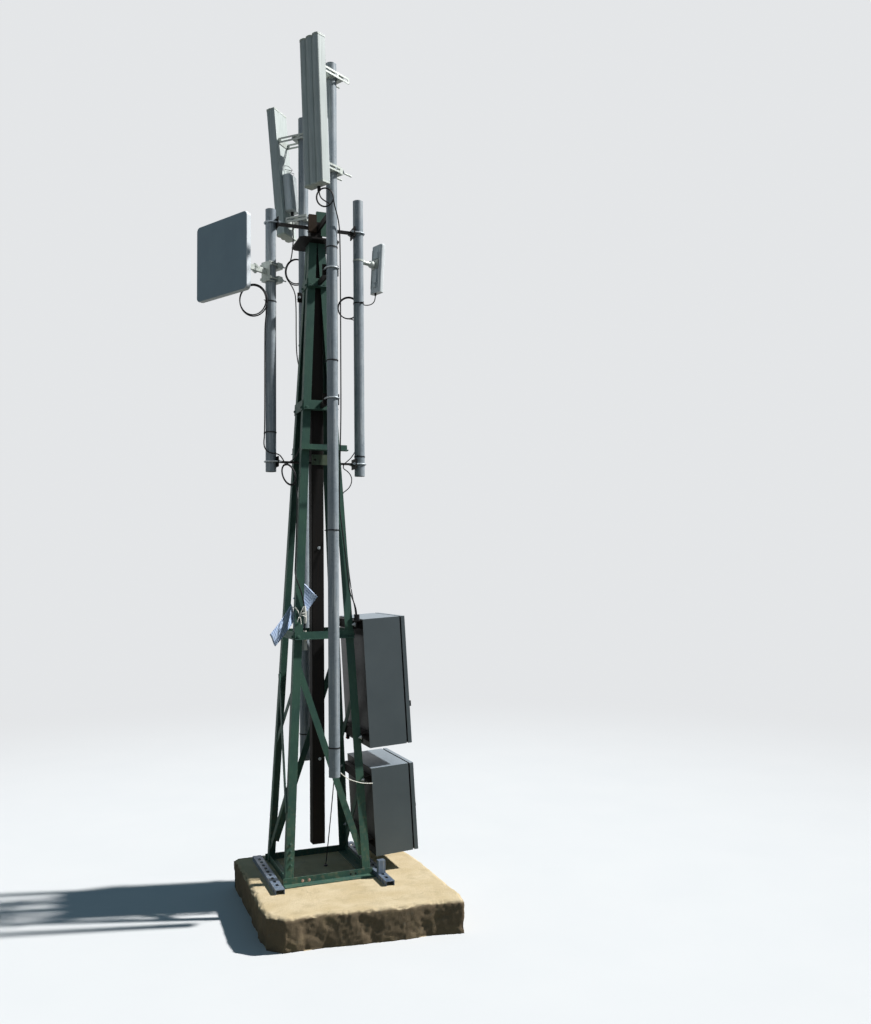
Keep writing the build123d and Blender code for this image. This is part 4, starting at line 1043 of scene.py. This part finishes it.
@dataclass(frozen=True)
class Lattice:
    """Bolts on the lattice mast, at every joint and rail.

    Attributes:
        base_half: Half width of the mast at the pad.
        top_half: Half width at the top of the legs.
        leg_height: Length of the legs above the pad.
        tilt: Rise of a face's outward axis.
        flange: Width of a leg's flange.
        levels: Rise of each ring of rungs.
        rung: Height of a rung's face.
        proud: Distance of a joint bolt's seat from the legs' outer face.
        foot_rises: Rise of each bolt at the feet of the legs.
        foot_along: Their distance from the face's middle.
        rail_face: The front rail's outer face.
        primed_bolts: Place along that rail of each primed bolt.
        empty_holes: Place along it of each empty hole.
        rail_rises: Rise of those bolts and of those holes.
        hole: Radius and height of each ring of the black disc, a painted shade, that stands for a hole.
        cabinet_rails: Rise of each rail that carries a cabinet.
        rail_reach: Distance of a cabinet's bolts from the rail's middle.
        post: Seat of the post's bolts, as x and y.
        post_rises: Rise of each of them.
    """

    base_half: float = 0.2005
    top_half: float = 0.0395
    leg_height: float = 3.004
    tilt: float = 0.054
    flange: float = 0.038
    levels: Floats = (1.084, 2.169, 2.777)
    rung: float = 0.028
    proud: float = 0.0042
    foot_rises: Floats = (0.081, 0.112, 0.143, 0.173)
    foot_along: float = -0.1725
    rail_face: float = -0.2492
    primed_bolts: Floats = (-0.132, -0.102)
    empty_holes: Floats = (0.090, 0.113)
    rail_rises: tuple[float, float] = (0.0265, 0.0275)
    hole: Profile = ((0.0045, -0.0005), (0.0045, 0.0003))
    cabinet_rails: Floats = (0.136, 0.426, 0.623, 1.148)
    rail_reach: float = 0.176
    post: tuple[float, float] = (0.005, -0.0301)
    post_rises: Floats = (0.510, 1.511)

    def half(self, rise: float) -> float:
        """Distance from the axis to a leg's outer face at a height over the pad."""
        return self.base_half - (self.base_half - self.top_half) * rise / self.leg_height

    def on_face(self, side: float, along: float, rise: float, proud: float = 0.0) -> tuple[Point, Point]:
        """Finds a point on a leaning face.

        Args:
            side: Heading of the face in degrees from +Y towards +X.
            along: Distance to the right of the face's middle, seen from outside.
            rise: Height over the pad.
            proud: Distance out from the legs' outer face.

        Returns:
            The point and the outward axis.
        """
        out = heading(side)
        right = Vector((-out.y, out.x, 0.0))
        spot = out * (self.half(rise) + proud) + right * along + Vector((0.0, 0.0, PAD_TOP + rise))
        return tuple(spot), (out.x, out.y, self.tilt)

    def make(self, finishes: Finishes) -> None:
        """Adds every bolt, and black discs of painted shade for the empty holes along the front rail."""
        joints = []
        for side in (0, 90, 180, 270):
            for rise in (level + self.rung / 2 for level in self.levels):
                reach = self.half(rise) - self.flange * 0.45
                joints += [self.on_face(side, along, rise, self.proud) for along in (-reach, reach)]
        self.bolts("lattice_bolts", joints, 0.010, finishes.green)
        feet = [self.on_face(side, self.foot_along, rise) for side in (0, 180) for rise in self.foot_rises]
        self.bolts("foot_bolts", feet, 0.0085, finishes.green)
        bolt_rise, hole_rise = (PAD_TOP + rise for rise in self.rail_rises)
        primed = [((x, self.rail_face, bolt_rise), FORWARD) for x in self.primed_bolts]
        self.bolts("rail_bolts", primed, 0.008, finishes.primed)
        # A black disc of painted shade stands for the inside of each empty hole
        holes = Shape("rail_hole_shades")
        for x in self.empty_holes:
            holes.turned(self.hole, facing((x, self.rail_face, hole_rise), FORWARD))
        holes.done(finishes.rubber)
        hooks = []
        for rise in self.cabinet_rails:
            for along in (-self.rail_reach, self.rail_reach):
                point, axis = self.on_face(90, along, rise)
                hooks.append((point, (-axis[0], 0.0, -axis[2])))
        self.bolts("cabinet_bolts", hooks, 0.013, finishes.zinc, 0.006)
        post = [((*self.post, PAD_TOP + rise), FORWARD) for rise in self.post_rises]
        self.bolts("post_bolts", post, 0.009, finishes.zinc)

    def bolts(self, name: str, spots: list[tuple[Point, Point]], across: float, finish: Material,
              stud: float = 0.0) -> None:
        """Adds one piece of equal bolts.

        Args:
            name: Name of the piece.
            spots: Seat and axis of each bolt.
            across: Width across the flats.
            finish: Its material.
            stud: How far a threaded end stands out.
        """
        shape = Shape(name)
        for point, axis in spots:
            shape.bolt(point, axis, across, stud)
        shape.done(finish)


def remade(node: Object, kind: str, **settings) -> bpy.types.Mesh:
    """Copies a CAD node's mesh in the shared frame and applies one modifier to the copy.

    Args:
        node: The CAD node.
        kind: Blender's name of the modifier type.
        **settings: Properties of the modifier.

    Returns:
        The changed copy, without materials.
    """
    data = node.data.copy()
    data.transform(node.matrix_world)
    whole = link("whole", data)
    change = whole.modifiers.new("change", kind)
    for name, value in settings.items():
        setattr(change, name, value)
    made = bpy.data.meshes.new_from_object(whole.evaluated_get(bpy.context.evaluated_depsgraph_get()))
    bpy.data.objects.remove(whole)
    made.materials.clear()
    return made


@dataclass(frozen=True)
class Pad:
    """The cast pad with its sides broken away, as weather and frost leave the edge of a thin slab.

    Attributes:
        grain: Size of the mesh's cells.
        lump: Size of the broken places.
        bite: How deep they go.
        chip: Size of the small chips.
        chip_depth: How deep these go.
        undercut: How far the foot stands back.
        rounding: How far the top edge is worn down.
        pitting: Depth of the marks in the trowelled top.
    """

    grain: float = 0.0075
    lump: float = 0.075
    bite: float = 0.009
    chip: float = 0.022
    chip_depth: float = 0.0035
    undercut: float = 0.004
    rounding: float = 0.010
    pitting: float = 0.0008

    def make(self, finishes: Finishes, node: Object) -> None:
        """Replaces the plain pad by one with rough sides."""
        fine = remade(node, "REMESH", mode="VOXEL", voxel_size=self.grain)
        self.crumble(fine)
        slab = placed("broken_pad", smoothed(fine), finishes.concrete)
        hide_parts(node.name)

    def crumble(self, mesh: bpy.types.Mesh) -> None:
        """Wears the sides and edges inward, and leaves the trowelled top nearly flat."""
        worn = []
        for vertex in mesh.vertices:
            spot = vertex.co
            normal = vertex.normal
            level = Vector((normal.x, normal.y, 0.0))
            depth = (PAD_TOP - spot.z) / PAD_TOP
            coarse = noise.fractal(spot / self.lump, 0.9, 2.0, 5)
            chips = noise.fractal(spot / self.chip + Vector((7.0, 0.0, 0.0)), 0.8, 2.0, 3)
            inward = self.bite * max(0.0, coarse) * (0.5 + depth)
            inward = inward + self.chip_depth * abs(chips) + self.undercut * depth
            down = self.pitting * abs(chips)
            if level.length > 0.25 and normal.z > 0.2:
                down += self.rounding * max(0.0, chips + 0.2)
            worn.append(spot - level * inward - Vector((0.0, 0.0, down * max(0.0, normal.z))))
        for vertex, spot in zip(mesh.vertices, worn):
            vertex.co = spot


@dataclass(frozen=True)
class SectorBrackets:
    """Slots and nuts of the brackets on the poles, and the knuckle of the flat panel's clamp.

    Attributes:
        arm: Distance of an arm's middle from the pole's axis, across the bracket.
        bolt: Distance of a long bolt from the pole's axis.
        jaw: Distance of a jaw's outer face from the pole's axis.
        slot: Depth and height of the cutter for a slot, and the rounding of its ends.
        pairs: CAD node, pole and heading of each antenna's brackets, with the height of each bracket and
            where each of its slots begins and ends.
        clamp_rise: Height of the panel's clamp.
        clamp_heading: Heading of the panel.
        clamp_bolt: Distance of a clamp's bolt from its middle, across and up.
        clamp_jaw: Distance of the clamp's rear face from the pole's axis.
        knuckle_reach: Distance of the knuckle from the pole's axis.
        knuckle: Radius and height of each ring of the knuckle.
        nut_rise: Height of the knuckle's nuts from its middle.
    """

    arm: float = 0.0435
    bolt: float = 0.032
    jaw: float = 0.038
    slot: tuple[float, float, float] = (0.012, 0.010, 0.002)
    pairs: tuple = (
        ("front_sector_brackets", Pole.FRONT, -120.0,
         ((3.852, ((-0.069, -0.004), (0.004, 0.084))), (3.402, ((-0.012, 0.063),)))),
        ("rear_sector_brackets", Pole.REAR, -46.0,
         ((3.791, ((-0.037, -0.004), (0.004, 0.108))), (3.359, ((-0.037, 0.070),)))),
    )
    clamp_rise: float = 2.984
    clamp_heading: float = -120.0
    clamp_bolt: float = 0.033
    clamp_jaw: float = 0.0414
    knuckle_reach: float = 0.098
    knuckle: Profile = (
        (0.0125, -0.016), (0.014, -0.0145), (0.014, -0.004), (0.0115, -0.003), (0.0115, 0.003),
        (0.014, 0.004), (0.014, 0.0145), (0.0125, 0.016),
    )
    nut_rise: float = 0.0158

    def make(self, finishes: Finishes, nodes: dict) -> None:
        """Cuts the slots of both pairs of brackets and adds every nut."""
        nuts = Shape("bracket_nuts")
        for name, pole, azimuth, brackets in self.pairs:
            cutter = Shape("slots")
            for height, slots in brackets:
                self.bracket(nuts, cutter, on_pole(pole, azimuth, height), slots, heading(azimuth))
            blade = link("blade", cutter.data())
            made = remade(nodes[name], "BOOLEAN", operation="DIFFERENCE", solver="EXACT", object=blade)
            bpy.data.objects.remove(blade)
            piece = placed(f"slotted_{name}", made, finishes.bracket)
            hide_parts(name)
        self.panel_clamp(finishes, nuts)
        nuts.done(finishes.zinc)

    def bracket(self, nuts: Shape, cutter: Shape, frame: Matrix, slots: tuple, out: Vector) -> None:
        """Adds one bracket's nuts, and its slots to the cutter.

        Args:
            nuts: The piece that takes the nuts.
            cutter: The form that is taken out of the brackets.
            frame: Placement on the pole's axis with local y towards the antenna.
            slots: Where each slot begins and ends along local y.
            out: The way towards the antenna.
        """
        deep, high, edge = self.slot
        for side in (-1, 1):
            for near, far in slots:
                place = frame @ Matrix.Translation((side * self.arm, (near + far) / 2, 0.0))
                cutter.block((deep, far - near, high), place, edge)
            for way in (-1, 1):
                point = frame @ Vector((side * self.bolt, way * self.jaw, 0.0))
                nuts.bolt(tuple(point), tuple(out * way), 0.014)

    def panel_clamp(self, finishes: Finishes, nuts: Shape) -> None:
        """Adds the nuts behind the flat panel's clamp and the knuckle of its arm."""
        inward = tuple(-heading(self.clamp_heading))
        frame = on_pole(Pole.LEFT, self.clamp_heading, self.clamp_rise)
        for side in (-self.clamp_bolt, self.clamp_bolt):
            for level in (-self.clamp_bolt, self.clamp_bolt):
                nuts.bolt(tuple(frame @ Vector((side, -self.clamp_jaw, level))), inward, 0.012)
        knuckle = Shape("panel_knuckle")
        place = frame @ Matrix.Translation((0.0, self.knuckle_reach, 0.0))
        knuckle.turned(self.knuckle, place, 28)
        for way in (1.0, -1.0):
            point = place @ Vector((0.0, 0.0, way * self.nut_rise))
            knuckle.bolt(tuple(point), (0.0, 0.0, way), 0.012)
        knuckle.done(finishes.bracket)


def on_pole(pole: Pole, azimuth: float, height: float) -> Matrix:
    """Placement on a pole's axis with local y along a heading."""
    return Matrix.Translation((*pole.value, height)) @ Matrix.Rotation(math.radians(-azimuth), 4, "Z")


@dataclass(frozen=True)
class Radios:
    """Small forms on the antennas and radios: port covers, ribs, short wires and domed caps.

    Attributes:
        foot: Middle of the foot of the small radio's back.
        across: The way across its back.
        upright: The way up its back.
        covers: Size and centre of each cover and rib on that back.
        wires: Points of each wire over the rear radio.
        sectors: Foot, way across and way up of the back of each sector antenna.
        ridges: Distance of each ridge from the antenna's middle.
        lobe_depth: Distance of the lobes' middles from that back.
        cap_top: Height of the top cap along it.
        lobe: Radius and height of each ring of a lobe.
    """

    foot: Point = (0.315, 0.0342, 2.950)
    across: Point = (0.342, -0.940, 0.0)
    upright: Point = (0.066, 0.024, 0.998)
    covers: tuple[tuple[Point, Point], ...] = (
        ((0.034, 0.009, 0.034), (0.006, -0.0035, 0.192)), ((0.026, 0.011, 0.070), (0.008, -0.0045, 0.084)),
        ((0.016, 0.014, 0.018), (0.008, -0.0060, 0.034)), ((0.003, 0.005, 0.205), (-0.029, -0.0015, 0.126)),
        ((0.003, 0.005, 0.205), (0.031, -0.0015, 0.126)),
    )
    wires: tuple[Points, ...] = (
        route("-40 300 3606, -36 300 3626, -76 303 3631, -44 302 3646, -66 304 3664, -81 323 3672"),
        route("-52 304 3606, -60 304 3622, -46 300 3640, -80 322 3652"),
    )
    sectors: tuple[tuple[Point, Point, Point], ...] = (
        ((-0.0565, -0.3255, 3.314), (-0.5, 0.866, 0.0), (-0.036, -0.021, 0.999)),
        ((-0.0561, 0.2992, 3.291), (0.695, 0.719, 0.0), (-0.065, 0.063, 0.996)),
    )
    ridges: Floats = (-0.041, 0.0, 0.041)
    lobe_depth: float = 0.031
    cap_top: float = 0.679
    lobe: Profile = (
        (0.0175, -0.003), (0.0185, 0.0005), (0.0170, 0.0040), (0.0120, 0.0065), (0.0040, 0.0078),
    )

    def make(self, finishes: Finishes) -> None:
        """Adds the covers on the small radio, the wires over the rear one and the lobes of the caps."""
        back = standing(self.foot, self.across, self.upright)
        covers = Shape("radio_covers")
        for size, centre in self.covers:
            covers.block(size, back @ Matrix.Translation(centre), 0.0015)
        covers.done(finishes.shell)
        wires = Shape("radio_wires")
        for points in self.wires:
            wires.sweep(points, 0.0014)
        wires.done(finishes.jacket)
        domes = Shape("cap_lobes")
        for sector in self.sectors:
            for shift in self.ridges:
                centre = Matrix.Translation((shift, self.lobe_depth, self.cap_top))
                domes.turned(self.lobe, standing(*sector) @ centre, 24)
        domes.done(finishes.cap)


@dataclass(frozen=True)
class Joints:
    """White tape on the lead down the leg, and the lamp under the upper cabinet's rail.

    Attributes:
        joint: Axis of the taped joint, as x and y.
        foot: Height of its lower end.
        length: Its length.
        radii: Its radius at the lower end, and how much it narrows.
        wrinkle: Depth of the tape's turns.
        steps: Number of rings.
        taped: Points of the taped stretch of lead above it.
        taped_radius: Radius of that stretch.
        housing: Size and centre of the lamp's housing.
        lamp: Middle of the lamp's foot.
        lens: Radius and height of each ring of the lens.
    """

    joint: tuple[float, float] = (-0.089, -0.125)
    foot: float = 1.174
    length: float = 0.090
    radii: tuple[float, float] = (0.0128, 0.0048)
    wrinkle: float = 0.0005
    steps: int = 24
    taped: Points = (
        (-0.0893, -0.1300, 1.300), (-0.0892, -0.1383, 1.322), (-0.0912, -0.1403, 1.350),
        (-0.0942, -0.1417, 1.379),
    )
    taped_radius: float = 0.0068
    housing: tuple[Point, Point] = ((0.014, 0.018, 0.036), (0.180, 0.095, PAD_TOP + 0.589))
    lamp: Point = (0.173, 0.094, PAD_TOP + 0.578)
    lens: Profile = ((0.0045, -0.001), (0.0045, 0.002), (0.003, 0.0040), (0.001, 0.0048))

    def make(self, finishes: Finishes) -> None:
        """Adds the tape and the lamp."""
        tape = Shape("joint_tape")
        wide, narrowing = self.radii
        profile = []
        for step in range(self.steps + 1):
            share = step / self.steps
            radius = wide - narrowing * share + self.wrinkle * math.sin(step * 2.4)
            profile.append((radius, self.foot + self.length * share))
        tape.turned(profile, Matrix.Translation((*self.joint, 0.0)))
        tape.sweep(self.taped, self.taped_radius, 14)
        tape.done(finishes.tape)
        size, centre = self.housing
        housing = Shape("lamp_housing")
        housing.block(size, Matrix.Translation(centre), 0.002)
        housing.done(finishes.rubber)
        lamp = Shape("status_lamp")
        lamp.turned(self.lens, facing(self.lamp, (-1.0, 0.0, 0.0)))
        lamp.done(finishes.lens)


@dataclass(frozen=True)
class Poles:
    """Cable ties on the four poles.

    Attributes:
        radius: Inner radius of a tie, a little over the pole's own.
        strap: Width, thickness and tail of a tie.
        skew: Axis of a tie, which never sits quite level.
        ties: Pole, rise and angle of the head of each tie.
    """

    radius: float = 0.0258
    strap: tuple[float, float, float] = (0.0055, 0.0016, 0.014)
    skew: Point = (0.02, 0.01, 1.0)
    ties: tuple[tuple[Pole, float, float], ...] = (
        (Pole.FRONT, 2.369, 20), (Pole.FRONT, 1.586, 20), (Pole.FRONT, 0.607, -60), (Pole.FRONT, 2.900, 30),
        (Pole.REAR, 0.586, 200), (Pole.REAR, 2.560, 160), (Pole.LEFT, 2.702, 90), (Pole.LEFT, 2.066, 10),
        (Pole.RIGHT, 2.734, 170), (Pole.RIGHT, 1.963, 120),
    )

    def make(self, finishes: Finishes) -> None:
        """Adds the ties."""
        shape = Shape("pole_ties")
        for pole, rise, turn in self.ties:
            shape.wrap((*pole.value, PAD_TOP + rise), self.skew, self.radius, self.strap, turn)
        shape.done(finishes.jacket)


@dataclass(frozen=True)
class Notices:
    """Two laminated cards without words, tied to the front left leg.

    Attributes:
        left: Corners of the left card, round its outline.
        right: Corners of the right card.
        thick: Thickness of a card.
        bows: How far the middle of each card stands out.
        ripple: How far a card waves from side to side.
        steps: Cells along each side of a card.
        knot: Where the ties cross.
        ends: The way from there to the end of each tie.
        slack: How far the middle of a tie stands off its straight line.
        tie: Radius of a tie.
        collar: Centre, axis, inner radius, strap and head angle of the tie round the leg.
    """

    left: Points = route("-258 -150 1253, -228 -125 1196, -118 -62 1318, -144 -88 1388")
    right: Points = route("-138 -98 1414, -73 -96 1349, -18 -94 1420, -84 -96 1484")
    thick: float = 0.0006
    bows: tuple[float, float] = (0.006, -0.005)
    ripple: float = 0.002
    steps: int = 16
    knot: Point = (-0.118, -0.146, 1.335)
    ends: Points = route("-20 -4 36, 16 -4 40, 28 -2 -6, 6 -4 -40, -14 -6 -28, 22 -6 14")
    slack: Point = (0.0, -0.006, 0.004)
    tie: float = 0.0023
    collar: tuple = ((-0.136, -0.120, 1.372), (0.3, 0.0, 1.0), 0.011, (0.004, 0.0014, 0.02), 180.0)

    def make(self, finishes: Finishes) -> None:
        """Adds both cards and the white ties that cross between them."""
        self.card("left_notice", self.left, finishes, self.bows[0])
        self.card("right_notice", self.right, finishes, self.bows[1])
        shape = Shape("notice_ties")
        knot = Vector(self.knot)
        for end in self.ends:
            tip = knot + Vector(end)
            middle = knot.lerp(tip, 0.5) + Vector(self.slack)
            shape.sweep((knot, middle, tip), self.tie)
        shape.wrap(*self.collar)
        shape.done(finishes.tape)

    def card(self, name: str, corners: Points, finishes: Finishes, bow: float) -> None:
        """Makes one slightly bowed card.

        Args:
            name: Name of the piece.
            corners: Its four corners in order.
            finishes: The shared finishes.
            bow: How far its middle stands out.
        """
        low, right_low, right_high, high = (Vector(corner) for corner in corners)
        normal = (right_low - low).cross(high - low).normalized()
        shape = Shape(name)
        layer = shape.mesh.loops.layers.uv.new("card")
        shares = [step / self.steps for step in range(self.steps + 1)]
        grid = []
        flat = {}
        for v in shares:
            line = []
            for u in shares:
                spot = low.lerp(right_low, u).lerp(high.lerp(right_high, u), v)
                wave = bow * math.sin(math.pi * v) + self.ripple * math.sin(2 * math.pi * u)
                corner = shape.mesh.verts.new(spot + normal * wave)
                flat[corner] = (u * (right_low - low).length, v * (high - low).length)
                line.append(corner)
            grid.append(line)
        for near, far in zip(grid, grid[1:]):
            for cell in zip(near, near[1:], far[1:], far):
                for loop in shape.mesh.faces.new(cell).loops:
                    loop[layer].uv = flat[loop.vert]
        card = placed(name, smoothed(shape.data()), finishes.card)
        card.modifiers.new("thickness", "SOLIDIFY").thickness = self.thick


def dress_nodes(frame: dict, finishes: Finishes) -> None:
    """Gives every CAD node its finish.

    Args:
        finishes: The shared finishes.
    """
    wear = {
        finishes.green: ("leg_front_", "leg_rear_", "_bracing", "base_frame", "cable_channels", "head_cap",
                         "side_plate"),
        # The near black on the cabinet rails, head plate, arms and post is partly painted shade
        finishes.dark: ("central_post", "cross_arms", "stand_off_arms", "head_plate", "cabinet_rails"),
        finishes.olive: ("tie_plate",),
        finishes.rust: ("packing_block",),
        finishes.pole: ("_pole",),
        finishes.strut: ("ground_struts",),
        finishes.zinc: ("u_bolts", "mounting_plates", "hinge_pins"),
        finishes.bracket: ("sector_brackets", "panel_bracket", "radio_bracket"),
        finishes.radome: ("sector_radome",),
        finishes.cap: ("sector_caps",),
        finishes.shell: ("sector_radio", "small_radio"),
        finishes.panel: ("flat_panel",),
        finishes.cabinet: ("cabinet_body", "cabinet_door"),
        finishes.rubber: ("door_gasket",),
        finishes.jacket: ("door_lock", "cable", "coil", "lead"),
        finishes.concrete: ("concrete_pad",),
    }
    for name, node in frame["nodes"].items():
        chosen = next(finish for finish, words in wear.items() if any(word in name for word in words))
        for place in range(len(node.data.materials)):
            node.data.materials[place] = chosen
        LOG.info("node %s in %s", name, chosen.name)


def main() -> None:
    """Builds the camera, the cables, the fittings and the studio."""
    logging.basicConfig(level=logging.INFO, format="%(name)s %(message)s")
    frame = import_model()
    finishes = Finishes()
    Photographer().make()
    for lead in LEADS:
        lead.make(finishes)
    dress_nodes(frame, finishes)
    Pad().make(finishes, frame["nodes"]["concrete_pad"])
    SectorBrackets().make(finishes, frame["nodes"])
    for assembly in (Lattice(), Radios(), Joints(), Poles(), Notices()):
        assembly.make(finishes)
    Studio().make()


if __name__ == "__main__":
    main()
